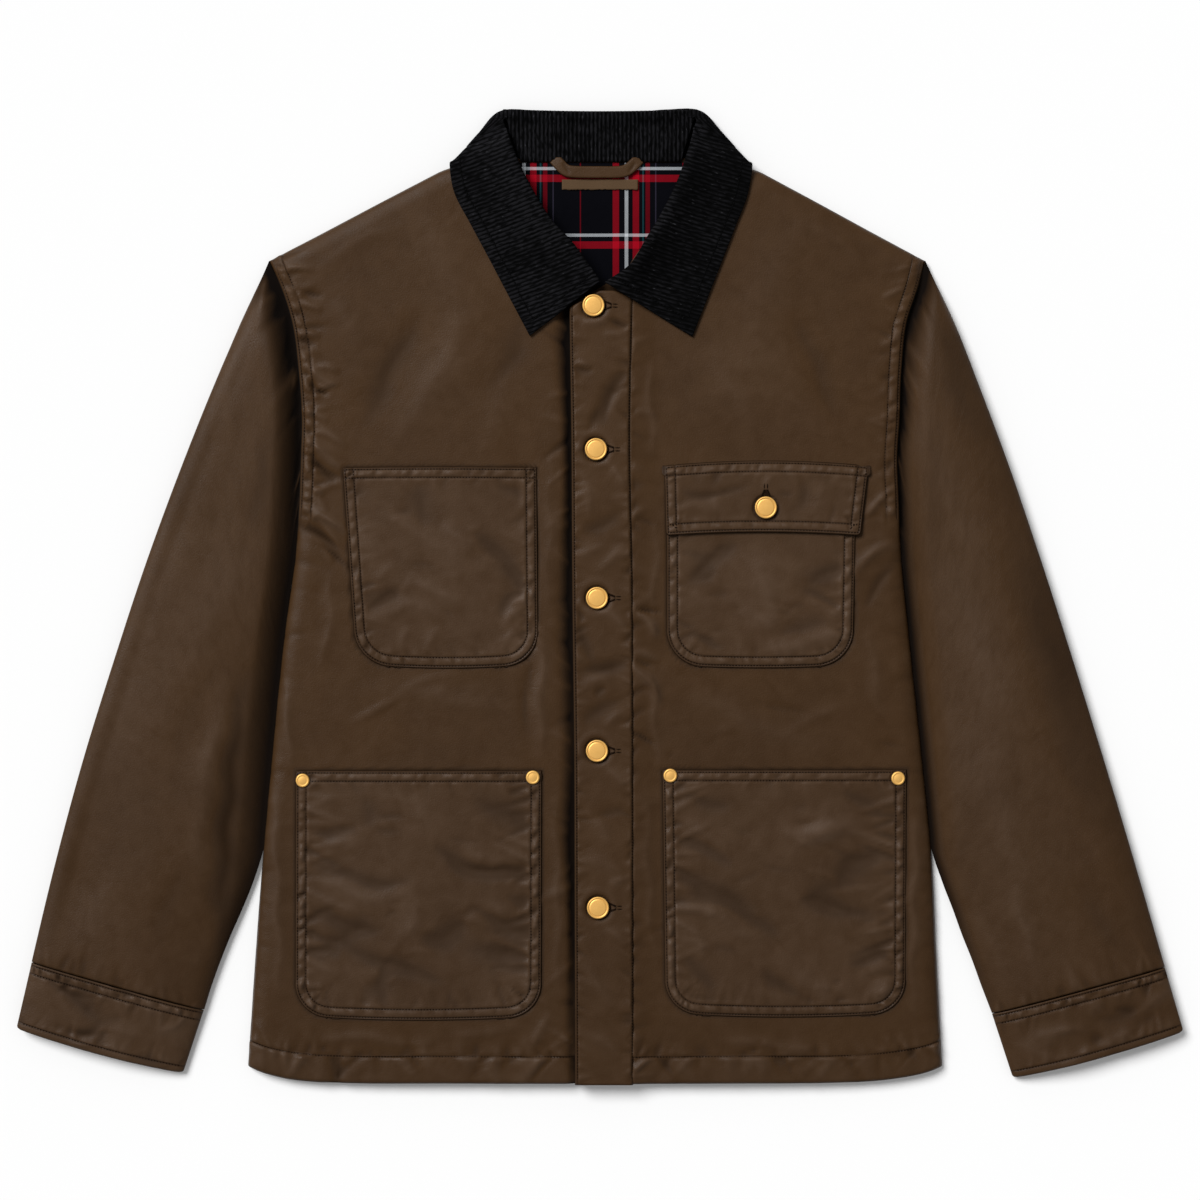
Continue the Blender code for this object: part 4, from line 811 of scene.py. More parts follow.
# each pocket's creases: from x, y, to x, y, bow, half width, height
POCKET_CREASES = {
    "chest_pocket_right": [
        (-188, -12, -160, 6, 2, 5, -0.9), (-186, -22, -150, -6, 2, 6, 0.7), (-82, -18, -58, 5, 3, 4, -1),
        (-78, -26, -58, -8, 3, 4, 0.8), (-148, 92, -141, 50, 3, 9, -0.6), (-84, 84, -60, 78, 2, 5, -0.6),
        (-196, 60, -170, 30, -3, 8, 0.7), (-182, 8, -160, 24, 2, 5, 0.5), (-130, 20, -90, 40, 5, 12, 0.4),
        (-160, -46, -150, -22, 1, 4, 0.7), (-136, -46, -128, -24, 1, 4, 0.6),
        (-76, -44, -62, -24, 2, 5, 0.6)],
    "chest_pocket_left": [
        (162, 4, 192, -13, 2, 3.4, -0.9), (164, -4, 190, -20, 2, 4, 0.6), (104, -8, 113, -13, 0, 2, -0.6),
        (166, 8, 195, 23, 2, 5, -0.7), (120, 44, 134, -30, 6, 14, 0.8), (66, 10, 96, -26, 4, 9, 0.5),
        (130, -34, 192, -24, 5, 9, -0.7), (70, -30, 96, -40, 2, 5, -0.5), (60, 36, 90, 26, 2, 4, -0.5)],
    "hip_pocket_right": [
        (-186, -330, -150, -268, 4, 9, -1.1), (-150, -272, -100, -252, -8, 9, -1.2),
        (-192, -312, -140, -240, -6, 9, 1.1), (-236, -218, -145, -238, -10, 7, 1),
        (-232, -208, -148, -226, -10, 6, -0.9), (-236, -193, -192, -186, 2, 5, -0.9),
        (-232, -200, -190, -196, 1, 4, 0.6), (-232, -250, -174, -267, -3, 5, -1),
        (-230, -242, -190, -250, -2, 4, 0.6), (-228, -280, -208, -290, 1, 4, -0.7),
        (-132, -200, -70, -226, -4, 6, -1), (-74, -226, -54, -216, -2, 4, -0.8),
        (-110, -196, -62, -214, -4, 7, 0.7), (-72, -160, -56, -152, 1, 2.6, -1.1),
        (-76, -240, -54, -246, 1, 4, -0.7), (-112, -262, -60, -250, 4, 9, 0.9),
        (-84, -290, -56, -276, 2, 6, -0.6), (-190, -160, -182, -190, 2, 8, -0.5),
        (-236, -168, -206, -160, 1, 4, 0.6), (-150, -158, -140, -200, 3, 10, 0.5)],
    "hip_pocket_left": [
        (58, -193, 104, -216, 5, 5, -1), (58, -184, 100, -200, 5, 5, 0.8),
        (58, -219, 144, -272, 4, 7, -1.2), (62, -232, 110, -252, 3, 4, -0.8),
        (60, -240, 120, -275, 3, 8, 0.9), (186, -228, 228, -202, 4, 7, -0.9),
        (150, -206, 200, -186, 6, 10, 0.7), (164, -247, 220, -257, 3, 5, -1),
        (176, -238, 222, -232, 2, 5, 0.7), (62, -154, 104, -168, -2, 5, -0.8),
        (150, -178, 176, -178, -2, 4, -0.8), (160, -186, 196, -190, -3, 6, 0.7),
        (198, -292, 238, -277, -5, 5, -1), (206, -300, 238, -290, -3, 5, 0.7),
        (66, -283, 90, -314, 2, 6, -0.7), (192, -156, 226, -173, 2, 5, -0.8),
        (70, -262, 84, -290, 2, 5, 0.7), (110, -318, 190, -322, 2, 8, 0.5)],
    "pocket_flap": [
        (58, 84, 118, 86, -4, 3.4, -0.9), (128, 86, 136, 96, 0, 3, 0.7), (160, 92, 158, 66, 2, 5, -0.6),
        (176, 90, 168, 60, 2, 6, 0.6), (100, 60, 94, 84, 2, 6, 0.7), (196, 80, 210, 82, 0, 3, -0.6),
        (66, 76, 96, 66, 2, 5, 0.5), (140, 84, 152, 82, 0, 2, -0.6)],
}


def beside(path, x, y):
    """Run along a plan path to its nearest point, and the distance from it."""
    best, run_at, run = np.full(x.shape, 1e9), np.zeros(x.shape), 0.0
    for (x0, y0), (x1, y1) in zip(path[:-1], path[1:]):
        length = math.hypot(x1 - x0, y1 - y0)
        ux, uy = (x1 - x0) / length, (y1 - y0) / length
        t = np.clip((x - x0) * ux + (y - y0) * uy, 0.0, length)
        distance = np.hypot(x - x0 - t * ux, y - y0 - t * uy)
        nearer = distance < best
        best, run_at = np.where(nearer, distance, best), np.where(nearer, run + t, run_at)
        run += length
    return run_at, best, run


def patch_plan(row, s, y):
    """Plan grid of a patch with rounded lower corners and bowed upper and lower edges."""
    left_top, right_top, left_low, right_low, top, low, radius, top_bow, low_bow = row[1:]
    y, s = y[:, None], s[None]
    t = (y - low) / (top - low)
    inset = radius - np.sqrt(radius ** 2 - np.clip(low + radius - y, 0.0, radius) ** 2)
    start = left_low + t * (left_top - left_low) + inset
    end = right_low + t * (right_top - right_low) - inset
    bow = (top_bow * t + low_bow * (1.0 - t)) * 4.0 * s * (1.0 - s)
    return np.stack([start + s * (end - start), y + bow], axis=-1)


def patch_sides(row):
    """Path down the patch's left edge, round the bottom and up its right edge."""
    low, radius, top = row[6], row[7], row[5]
    up = np.concatenate([low + radius * (1.0 - np.cos(np.linspace(0.0, 0.5 * math.pi, 9))), [top]])
    grid = patch_plan(row, np.linspace(0.0, 1.0, 12), up)
    return np.concatenate([grid[::-1, 0], grid[0, 1:-1], grid[:, -1]])


def patch_top(row, s):
    """Plan points at shares s along a patch's upper edge."""
    return patch_plan(row, s, np.array([row[5]]))[0]


def pocket_base(x, y, row):
    """Outer face of a patch pocket: its front, moved out and a little plump in the middle."""
    (name, left_top, right_top), (top, low) = row[:3], row[5:7]
    s = np.clip((x - left_top) / (right_top - left_top), 0.0, 1.0)
    t = np.clip((y - low) / (top - low), 0.0, 1.0)
    plump = POCKET_PLUMP * np.sin(math.pi * s) * smooth_step(0.0, 0.6, t)
    if name == FLAP_POCKET[0]:
        plump = plump * (1.0 - smooth_step(0.5, 0.68, t))
    return front_under(x, y) + LAY_GAP + PATCH_CLOTH + plump


def flap_base(x, y):
    """The flap starts on the front above its pocket, climbs onto it and stands off its lower edge."""
    climb = smooth_step(*FLAP_FOLD, y)
    on_front = front_under(x, y) + LAY_GAP + PATCH_CLOTH
    on_pocket = pocket_base(x, np.minimum(y, FLAP_POCKET[5]), FLAP_POCKET) + 1.6 * LAY_GAP + PATCH_CLOTH
    return on_front + (on_pocket - on_front) * climb + 1.3 * smooth_step(66.0, 46.0, y)


def patch_surface(x, y, row, seed):
    """A patch with its seams, puckers and creases: height, relief and stitch-row distance."""
    base = flap_base(x, y) if row is FLAP else pocket_base(x, y, row)
    run, away, length = beside(patch_sides(row), x, y)
    down = np.interp(x, *patch_top(row, np.linspace(0.0, 1.0, 15)).T) - y
    tall = row[5] - row[6]
    by_side = (smooth_step(tall + 15.0, tall - 15.0, run)
               + smooth_step(length - tall - 15.0, length - tall + 15.0, run))
    drawn, reach = (2.0, 18.0) if tall > 180.0 else (1.25, 10.0)
    relief = stitched(run, away, length, seed, PATCH_ROWS, reach, 0.75 + (drawn - 0.75) * by_side)
    relief = relief + stitched(x + 300.0, down, 600, seed + 7, PATCH_ROWS, 7.0, 0.8)
    middle = smooth_step(8.0, 15.0, np.minimum(away, down))
    relief = relief + 0.85 * middle * creases(x, y, POCKET_CREASES[row[0]])
    edge = np.minimum(away, down)
    if row is not FLAP:
        box = (row[1], row[2] - 20.0, row[6], row[5])
        relief = relief + middle * crumples(x, y, seed + 3, 40 if tall > 180.0 else 20, box, 0.5, 0.75)
        relief = relief + middle * crumples(x, y, seed + 9, 9 if tall > 180.0 else 5, box, 0.8, 2.2)
    relief = relief - 1.4 * (1.0 - rounding(edge, 1.5)) - 0.25 * middle
    if row is FLAP_POCKET:
        relief = relief - 1.8 * smooth_step(50.0, 58.0, y)
    if row is FLAP:
        distance = np.hypot(x - FLAP_BUTTON[0], y - FLAP_BUTTON[1])
        relief = relief - 1.2 * np.exp(-(distance / 10.2) ** 6)
        # painted shadow ring round the flap button
        flap_ring = 0.5 * np.abs(distance - 9.5)
    # the patch's own edge darkens with its rows: painted shade
    rows = np.minimum.reduce([np.abs(d - at) for d in (away, down) for at in PATCH_ROWS] + [edge])
    for rivet_x, rivet_y in RIVETS:
        distance = np.hypot(x - rivet_x, y - rivet_y)
        relief = relief * (1.0 - np.exp(-(distance / 7.4) ** 8))
        # painted shadow ring round each rivet
        rows = np.minimum(rows, 0.6 * np.abs(distance - 5.9))
    if row is FLAP:
        rows = np.minimum(rows, flap_ring)
    return base + relief, np.maximum(relief, -1.1), rows


def inset(path, distance):
    """The plan path moved to its left by a distance, on points a millimetre apart."""
    length = run_along(path)[-1]
    path = at_runs(path, np.linspace(0.0, length, int(length)))
    way = np.gradient(path, axis=0)
    way /= np.linalg.norm(way, axis=1)[:, None]
    return path + distance * np.stack([-way[:, 1], way[:, 0]], axis=-1)


for seed, patch in zip(PATCH_SEEDS, POCKETS + [FLAP]):
    wide, tall = patch[2] - patch[1], patch[5] - patch[6]
    s = share(graded(0, wide, 2.3, (0, 11, 1.15), (wide, 11, 1.15)))
    up = np.concatenate([[0, 0.15, 0.5], graded(1.0, tall, 2.3, (1, 11, 1.15), (tall, 11, 1.15))])
    plan = patch_plan(patch, s, patch[6] + up)
    if patch is FLAP:
        ear = 1.4 * smooth_step(95.5, 97.0, plan[..., 1])
        plan[..., 0] = plan[..., 0] + ear * (smooth_step(0.97, 1.0, s) - smooth_step(0.03, 0.0, s))
    height, relief, row = patch_surface(plan[..., 0], plan[..., 1], patch, seed)
    seen_below = 50.0 if patch is FLAP_POCKET else patch[5] - 1.5
    sides = [inset(patch_sides(patch), away) for away in PATCH_ROWS]
    paths = [path[path[:, 1] < seen_below] for path in sides]
    paths += [inset(patch_top(patch, np.linspace(0.985, 0.015, 60)), away) for away in PATCH_ROWS]
    rows = [raised(path, patch_surface(path[:, 0], path[:, 1], patch, seed)[0] + THREAD_LIFT)
            for path in paths]
    sewn(patch[0] + "_stitches", rows[:2] if patch is FLAP_POCKET else rows)
    cloth(patch[0] + "_cloth", patch[0], raised(plan, height), cotton_pocket, relief, row, wall=0.9)

# ===== Sleeves and cuffs =====
# Each sleeve is a lined tube of waxed cotton laid flat. It swells out of a deep valley beside the
# armhole and is gathered into a cuff, which is topstitched twice at its seam and once at its edge.
SLEEVE_HEIGHT, SLEEVE_VALLEY, TUCK = 20.0, 5.0, 2.5
INNER_FOLD, OUTER_FOLD = 4.0, 8.5  # height of the tube's folds over the table
CUFF_TOP, CUFF_HEIGHT, CUFF_BOW = 16.0, 13.5, 2.0
SLEEVE_SIDE = 22.0                # the valley beside the body rises over this width
SLEEVE_SHADE = (12.0, 7.0)        # reach of the painted shade in the fold beside the body, right, left
# the trough pressed in along the outer fold: its place inside it, its reach to the fold and away
# from it, and its depth on the right and left sleeve
PRESS_AT, PRESS_REACH, PRESS_DEPTH = 18.5, (9.5, 34.0), (3.5, 0.0)
SLANT = 0.95                      # a distance across the sleeve over the same one along X
SLEEVE_WIDTH, SLEEVE_GRAIN, ARMHOLE_LENGTH = 165.0, 180.0, 250.0
RIM_REACH, RIM_SHADE = (20.0, 30.0), (0.5, 0.65)      # painted shade along the outer fold, right, left
SLEEVE_LENGTH, CUFF_LENGTH, CUFF_WIDTH = 520.0, 53.0, 140.0
SLEEVE_OUTER = [
    (-345, -466, 465.2), (-291, -453.6, 449.6), (-211, -434.4, 426.4), (-131, -412.8, 402.4),
    (-51, -388, 377.6), (29, -361.6, 352), (109, -332, 324.8), (169, -308, 302.4), (209, -291.2, 287.2),
    (249, -274.6, 270.6), (268, -266.8, 262.4)]
SLEEVE_INNER = [
    (-385, -334.6, 330.6), (-334, -317.6, 313.6), (-311, -310.4, 304.8), (-291, -303.2, 297.6),
    (-271, -295.2, 289.6), (-251, -286.4, 282.4), (-228, -277.2, 273.6), (-205, -271, 267),
    (-135, -264.2, 259.6), (-35, -254, 249), (45, -243.4, 241.4)]
# inner and outer end of the seam, inner and outer end of the lower edge; right, then left
CUFFS = np.array([[(-317.0, -331.4), (-453.8, -292.6), (-333.6, -381.6), (-466.0, -345.4)],
                  [(313.6, -334.2), (451.0, -296.6), (330.4, -385.6), (466.0, -347.8)]])
CUFF_ROWS, CUFF_EDGE_ROW = (2.0, 8.2), 5.6
CUFF_CORNER = 3.0                 # radius of the lower corners
# from x, y, to x, y, bow, half width, height
SLEEVE_CREASES = [
    (-270, 240, -306, 120, -4, 12, 0.8), (-262, 150, -290, 10, 5, 12, -0.6),
    (-262, 60, -330, -80, -8, 18, 0.6), (-290, 0, -360, -150, 8, 20, -0.5),
    (-380, -60, -420, -210, 6, 18, 0.5), (-330, -200, -360, -290, 3, 14, -0.5),
    (-280, -52, -303, -292, -5, 11, -2), (-296, -60, -322, -230, -4, 9, 1.2),
    (-300, -240, -330, -310, 3, 8, 0.4), (-390, -220, -420, -290, 3, 12, 0.5),
    (262, 264, 286, 205, 3, 6, 1), (272, 226, 302, 120, -5, 12, -0.6), (256, 150, 300, 30, -6, 13, 0.6),
    (262, 30, 330, -110, 8, 18, 0.6), (330, 60, 392, -110, -8, 22, -0.5),
    (276, -90, 350, -230, -6, 17, 0.5), (350, -120, 410, -260, 8, 19, 0.5),
    (330, -228, 356, -318, -3, 6, 1.1), (382, -220, 420, -296, -4, 13, -0.5),
    (298, -250, 326, -316, 3, 8, 0.5), (-340, 60, -396, -170, 0, 30, 1), (282, 60, 340, -280, 0, 22, 0.8),
    (348, 40, 402, -280, 0, 20, -0.6)]


def swell(v):
    """How far a laid tube has risen from its folds to its top, more gently on the inner side."""
    power = np.where(v < 0.5, 2.1, 4.0)
    return np.sqrt(np.clip(1.0 - np.abs(2.0 * v - 1.0) ** power, 0.0, 1.0))


def fold_height(u, v):
    """Height of the tube's folds: low along the armhole and the inner side, higher outside."""
    return INNER_FOLD + (OUTER_FOLD - INNER_FOLD) * smooth_step(0.0, 0.22, u) * smooth_step(0.35, 0.65, v)


def under_tube(fold, v):
    """Height under it: flat on the table, rounded up to the folds."""
    flat = 1.06 * np.sqrt(np.clip(1.0 - np.abs(2.0 * v - 1.0) ** 12, 0.0, 1.0))
    return fold * np.clip(1.0 - flat, 0.0, 1.0)


def sleeve_plan(side, u, v):
    """Plan points at share u from armhole to cuff and v from inner to outer fold."""
    sign = -1.0 if side == 0 else 1.0
    seam_in, seam_out, low_in = CUFFS[side][:3]
    back_off = SEAM_GAP * (low_in - seam_in) / np.hypot(*(low_in - seam_in))
    seam_in, seam_out = seam_in - back_off, seam_out - back_off

    def armhole(v):
        y = UNDERARM_Y + v * (SHOULDER_Y - UNDERARM_Y)
        out = sign * (-TUCK + (TUCK + 0.15) * smooth_step(0.84, 1.0, v))
        return np.stack([side_x(y, side) + out, y], -1)

    y = UNDERARM_Y + u * (seam_in[1] - UNDERARM_Y)
    against = 1.5 * smooth_step(-232.0, -196.0, y) - sign * through(SLEEVE_INNER, y)[..., side]
    inner = np.stack([-sign * against, y], -1)
    y = SHOULDER_Y + u * (seam_out[1] - SHOULDER_Y)
    outer = np.stack([through(SLEEVE_OUTER, y)[..., side], y], -1)
    ends = armhole(np.array([0.0, 1.0]))
    start_in = np.array([sign * (sign * through(SLEEVE_INNER, UNDERARM_Y)[..., side] - 1.5), UNDERARM_Y])
    start_out = np.array([through(SLEEVE_OUTER, SHOULDER_Y)[..., side], SHOULDER_Y])
    still = (1.0 - smooth_step(0.0, 0.10, u))[..., None]
    inner, outer = inner + still * (ends[0] - start_in), outer + still * (ends[1] - start_out)
    u, v3 = u[..., None], v[..., None]
    cuff = seam_in + v3 * (seam_out - seam_in)
    corners = (1 - u) * ((1 - v3) * ends[0] + v3 * ends[1]) + u * cuff
    return (1 - u) * armhole(v) + u * cuff + (1 - v3) * inner + v3 * outer - corners


def sleeve_surface(side, u, v):
    """Points over the sleeve: up out of the valley at the armhole, down a little into the cuff."""
    plan = sleeve_plan(side, u, v)
    x, y = plan[..., 0], plan[..., 1]
    out, left = u * SLEEVE_LENGTH, (1.0 - u) * SLEEVE_LENGTH
    crest = SLEEVE_HEIGHT - (SLEEVE_HEIGHT - CUFF_TOP) * u
    beside = np.abs(x - side_x(y, side))
    rise = smooth_step(1.0, SLEEVE_SIDE, beside) ** 0.8
    crest = SLEEVE_VALLEY + (crest - SLEEVE_VALLEY) * rise - 1.1 * np.exp(-left / 4.0)
    over, fold = swell(v), fold_height(u, v)
    relief = 0.6 * creases(x, y, SLEEVE_CREASES)
    seam = puckers(v * ARMHOLE_LENGTH, out, ARMHOLE_LENGTH, 41 + side, 9.0, 22.0, 3.2, 1.0, 0.7)
    gather = puckers(v * CUFF_WIDTH, left, CUFF_WIDTH, 43 + side, 7.0, 14.0, 2.2, 0.8, 0.4)
    relief = relief + seam * smooth_step(4.0, 14.0, out) + gather * (1.0 - 0.6 * np.exp(-left / 2.0))
    folds = fold_relief(x, y) * smooth_step(0.0, 0.08, u)
    inside = SLANT * np.abs(x - through(SLEEVE_OUTER, y)[..., side])
    pressed = np.exp(-((inside - PRESS_AT) / np.where(inside < PRESS_AT, *PRESS_REACH)) ** 2)
    folds = folds - PRESS_DEPTH[side] * pressed * smooth_step(0.03, 0.16, u) * smooth_step(1.0, 0.86, u)
    height = fold + (np.maximum(crest, fold + 0.5) - fold + folds + relief) * over
    # painted shade in the fold beside the body and along the outer fold, carried in the colour's relief
    reach = SLEEVE_SHADE[side] * (1.0 + 0.5 * smooth_step(120.0, 220.0, y))
    shaded = np.maximum(np.exp(-(beside / reach) ** 2), np.exp(-(v * SLEEVE_WIDTH / reach) ** 2))
    shaded = shaded * (1.0 - 0.8 * smooth_step(0.62, 1.0, u))
    rim = np.exp(-((1.0 - v) * SLEEVE_WIDTH / RIM_REACH[side]) ** 2)
    return plan, height, fold, relief - 3.6 * shaded - RIM_SHADE[side] * rim


def cuff_plan(side, u, v):
    """Plan points at share u from seam to edge and v from inner to outer fold; the lower edge is
    bowed and its corners are rounded."""
    seam_in, seam_out, low_in, low_out = CUFFS[side]
    u, v3 = u[..., None], v[..., None]
    inner, outer = seam_in + u * (low_in - seam_in), seam_out + u * (low_out - seam_out)
    bow = CUFF_BOW * u * np.sin(math.pi * v3) * np.array([0.0, -1.0])
    short = np.clip(CUFF_CORNER - (1.0 - u) * CUFF_LENGTH, 0.0, CUFF_CORNER)
    drawn_in = CUFF_CORNER - np.sqrt(CUFF_CORNER ** 2 - short ** 2)
    v3 = v3 + (1.0 - 2.0 * v3) * drawn_in / CUFF_WIDTH
    return inner + v3 * (outer - inner) + bow


def cuff_surface(side, u, v):
    """Points over the cuff with its three stitched rows and the ropes between the upper two."""
    plan = cuff_plan(side, u, v)
    down, up = u * CUFF_LENGTH, (1.0 - u) * CUFF_LENGTH
    relief = stitched(v * CUFF_WIDTH, down, CUFF_WIDTH, 51 + side, CUFF_ROWS, 8.0, 1.5)
    relief = relief + stitched(v * CUFF_WIDTH, up, CUFF_WIDTH, 61 + side, (CUFF_EDGE_ROW,), 9.0, 1.4)
    relief = relief - 0.6 * (1.0 - rounding(down, 1.5)) - 0.9 * (1.0 - rounding(up, 2.0))
    box = (0.0, CUFF_WIDTH, 4.0, CUFF_LENGTH)
    relief = relief + crumples(v * CUFF_WIDTH, down, 71 + side, 20, box, 0.6, 1.4)
    fold = fold_height(1.0, v)
    top = CUFF_HEIGHT + (CUFF_TOP - CUFF_HEIGHT) * (1.0 - u) ** 2
    row = np.minimum.reduce([np.abs(down - CUFF_ROWS[0]), np.abs(down - CUFF_ROWS[1]),
                             np.abs(up - CUFF_EDGE_ROW)])
    return plan, fold + (top - fold + relief) * swell(v), fold, relief, row


def tube(name, node, side, surface, u, upper, lower, width, length, material):
    """A laid tube: each ring runs over the top from inner to outer fold and back underneath, on
    points that lie close together at the folds."""
    over, under = (0.5 - 0.5 * np.cos(np.linspace(0.0, math.pi, count)) for count in (upper, lower))
    over_u, over_v = np.meshgrid(u, over, indexing="ij")
    under_u, under_v = np.meshgrid(u, under[-2:0:-1], indexing="ij")
    upper_side, lower_side = surface(side, over_u, over_v), surface(side, under_u, under_v)
    plan = np.concatenate([upper_side[0], lower_side[0]], axis=1)
    height = np.concatenate([upper_side[1], under_tube(lower_side[2], under_v)], axis=1)
    relief = np.concatenate([upper_side[3], 0.0 * under_v], axis=1)
    row = np.full(relief.shape, NO_ROW)
    if len(upper_side) > 4:
        row = np.concatenate([upper_side[4], lower_side[4]], axis=1)
    around = np.concatenate([over_v, 2.0 - under_v], axis=1) * width
    grain = np.stack([around, np.broadcast_to(u[:, None] * length, around.shape)], axis=-1)
    points = raised(plan, height)
    if side == 1:
        points, relief, row, grain = points[:, ::-1], relief[:, ::-1], row[:, ::-1], grain[:, ::-1]
    cloth(name, node, points, material, relief, row, wall=1.1,
          grain=grain, ring=True)


sleeve_u = share(graded(0, SLEEVE_LENGTH, 3.4, (0, 18, 1.5), (SLEEVE_LENGTH, 12, 1.5)))
cuff_u = share(graded(0, CUFF_LENGTH, 1.7, (0, 10, 1.0), (CUFF_LENGTH, 7, 1.0)))
for side, (word, cuff_cotton) in enumerate((("right", cotton_pocket), ("left", cotton_trim))):
    tube(f"sleeve_{word}_cloth", f"sleeve_{word}", side, sleeve_surface, sleeve_u, 86, 28,
         SLEEVE_GRAIN, SLEEVE_LENGTH, cotton_sleeve)
    tube(f"cuff_{word}_cloth", f"cuff_{word}", side, cuff_surface, cuff_u, 100, 24,
         CUFF_WIDTH, CUFF_LENGTH, cuff_cotton)

across = np.linspace(0.03, 0.97, 200)
rows = []
for side in (0, 1):
    for down in (*CUFF_ROWS, CUFF_LENGTH - CUFF_EDGE_ROW):
        plan, height = cuff_surface(side, np.full(200, down / CUFF_LENGTH), across)[:2]
        rows.append(raised(plan, height + THREAD_LIFT))
sewn("cuff_stitches", rows)

# ===== Collar =====
# A turned-down collar of black eight-wale corduroy. The wales cross each fall in straight lines
# and stand upright on the stand; one row of stitches follows the outer edge.
CORDUROY, FALL_WALL, WALE, WALE_HEIGHT = 2.0, 1.6, 3.3, 0.62
TABLE_CLEARANCE, LINING_GAP, LINING_CLOTH = 0.1, 0.6, 1.0
CORD_SHADE_AND_SEAM, CORD_PILE, CORD_LINT = (0.0004, 0.0004, 0.0004), (0.0088, 0.0086, 0.0100), (0.05, 0.05, 0.056)
WALE_LEAN = math.radians(20.0), math.radians(-16.0)      # right, left
CORNER = (76.0, 379.0)            # where each fall turns into the back of the neck
STAND_LOW, STAND_HIGH = 7.4, 8.2
# roll x, roll y, turn x, turn y, edge x, edge y, rise of the roll
FALL_RIGHT = [
    (0.5, 250.5, -56, 207.2, -56, 207.2, 1.5), (-20, 279, -72, 237.5, -72, 237.5, 4),
    (-38.4, 299.2, -88, 268, -88, 268, 5), (-52, 320.8, -103, 296, -103, 296, 5),
    (-63.2, 342.4, -116, 321, -116, 321, 4.5), (-70.5, 361, -119.8, 343.2, -119.8, 343.2, 3),
    (-73, 368, -117.4, 347.6, -120.4, 341.6, 2), (-75.5, 375, -112.5, 353, -119.6, 336.5, 1.2),
    (-76.5, 381, -97.5, 370, -108, 333, 0.5), (-68, 382.3, -80, 387.8, -88, 330, 0.2),
    (-50, 382.2, -51, 388.4, -58, 328.5, 0.1), (-26, 381.2, -26, 387.6, -29, 327.5, 0.1),
    (0, 380.6, 0, 387.2, 0, 327, 0.1)]
FALL_LEFT = [
    (3.5, 249.5, 73.6, 206.4, 73.6, 206.4, 1.5), (24, 264, 86, 238, 86, 238, 4),
    (37, 285, 97, 266, 97, 266, 5), (50, 307, 107.5, 293, 107.5, 293, 5),
    (62, 332, 117.5, 319, 117.5, 319, 4.5), (70.5, 357, 121.4, 342.4, 121.4, 342.4, 3),
    (73, 366, 118.8, 347, 121.8, 341, 2), (75, 374, 114, 352.5, 121, 336, 1.2),
    (76.5, 381, 98.5, 370, 109, 333, 0.5), (68, 382.3, 80, 388.2, 88, 330, 0.2),
    (50, 382.2, 51, 389, 58, 328.5, 0.1), (26, 381.2, 26, 387.8, 29, 327.5, 0.1)]
FALL = np.array(FALL_RIGHT + FALL_LEFT[::-1])
BACK_STATION = len(FALL_RIGHT) - 1.0      # the middle of the back of the neck
ROLL_DROP, ROLL_SPREAD, HANG = 3.6, 20.0, 9.0
STAND_SEAM, STAND_ROLL = (-63.5, 64.5, 347.0), (-77.6, 77.6, 387.6)
COLLAR_ROW, COLLAR_THREAD_LIFT = 9.0, 0.25


def corduroy(name):
    """Black corduroy on the piece's own map, whose first coordinate counts across the wales: hollows
    painted in shade, pile on top streaked along each wale, which shows less where shade is painted (the
    piece's relief below 0), and a little pale lint."""
    cord = Finish(name, Roughness=0.9, Specular_IOR_Level=0.04)
    at = cord.node("UVMap").outputs["UV"]
    turns = cord.sums("MULTIPLY", cord.node("SeparateXYZ", at).outputs["X"], 2.0 * math.pi / (WALE * MM))
    ridge = cord.sums("MULTIPLY_ADD", cord.sums("COSINE", turns), 0.5, 0.5)
    drawn_out = cord.node("Mapping", at, Scale=(1.0, 0.22, 1.0)).outputs["Vector"]
    streaks, patches = cord.noise(drawn_out, 700.0, 4.0), cord.noise(at, 28.0, 3.0)
    pile = cord.sums("MULTIPLY", cord.sums("POWER", ridge, 0.8),
                     cord.between(streaks, 0.40, 0.72, 0.15, 2.8))
    pile = cord.sums("MULTIPLY", pile, cord.between(patches, 0.36, 0.66, 0.40, 1.20))
    pile = cord.sums("MULTIPLY", pile, cord.between(cord.kept("relief"), -1.0, 0.0), clamp=True)
    # painted shade in the hollows between the wales
    colour = cord.blend(pile, CORD_SHADE_AND_SEAM, CORD_PILE)
    lint = cord.between(cord.noise(drawn_out, 800.0, 2.0), 0.66, 0.78)
    colour = cord.blend(cord.sums("MULTIPLY", lint, ridge, clamp=True), colour, CORD_LINT)
    seam = cord.between(cord.kept("row"), 0.2, 1.2, 0.75, 0.0)
    cord.gives(cord.blend(seam, colour, CORD_SHADE_AND_SEAM), "Base Color")
    cord.bumps((cord.sums("POWER", ridge, 0.6), 0.0004), (streaks, 0.0004))
    return cord.material


def collar_support(x, y):
    """What the collar's fall bridges: the fronts, and the placket's end near the closing."""
    around = [(0, 0), (7, 0), (-7, 0), (0, 6), (0, -7), (0, -14)]
    under = np.max([front_under(x + dx, y + dy) for dx, dy in around], axis=0)
    stack = (CLOTH + PATCH_CLOTH + 2 * LAY_GAP) * smooth_step(-44, -27, x) * (np.asarray(x) < 0)
    stack = stack + (PATCH_CLOTH + LAY_GAP) * (1.0 - smooth_step(28, 40, x)) * (np.asarray(x) >= 0)
    return under + stack


def lining_top(y):
    """Height of the lining's outer face."""
    return CLOTH + back_rise(y) + LINING_GAP + LINING_CLOTH


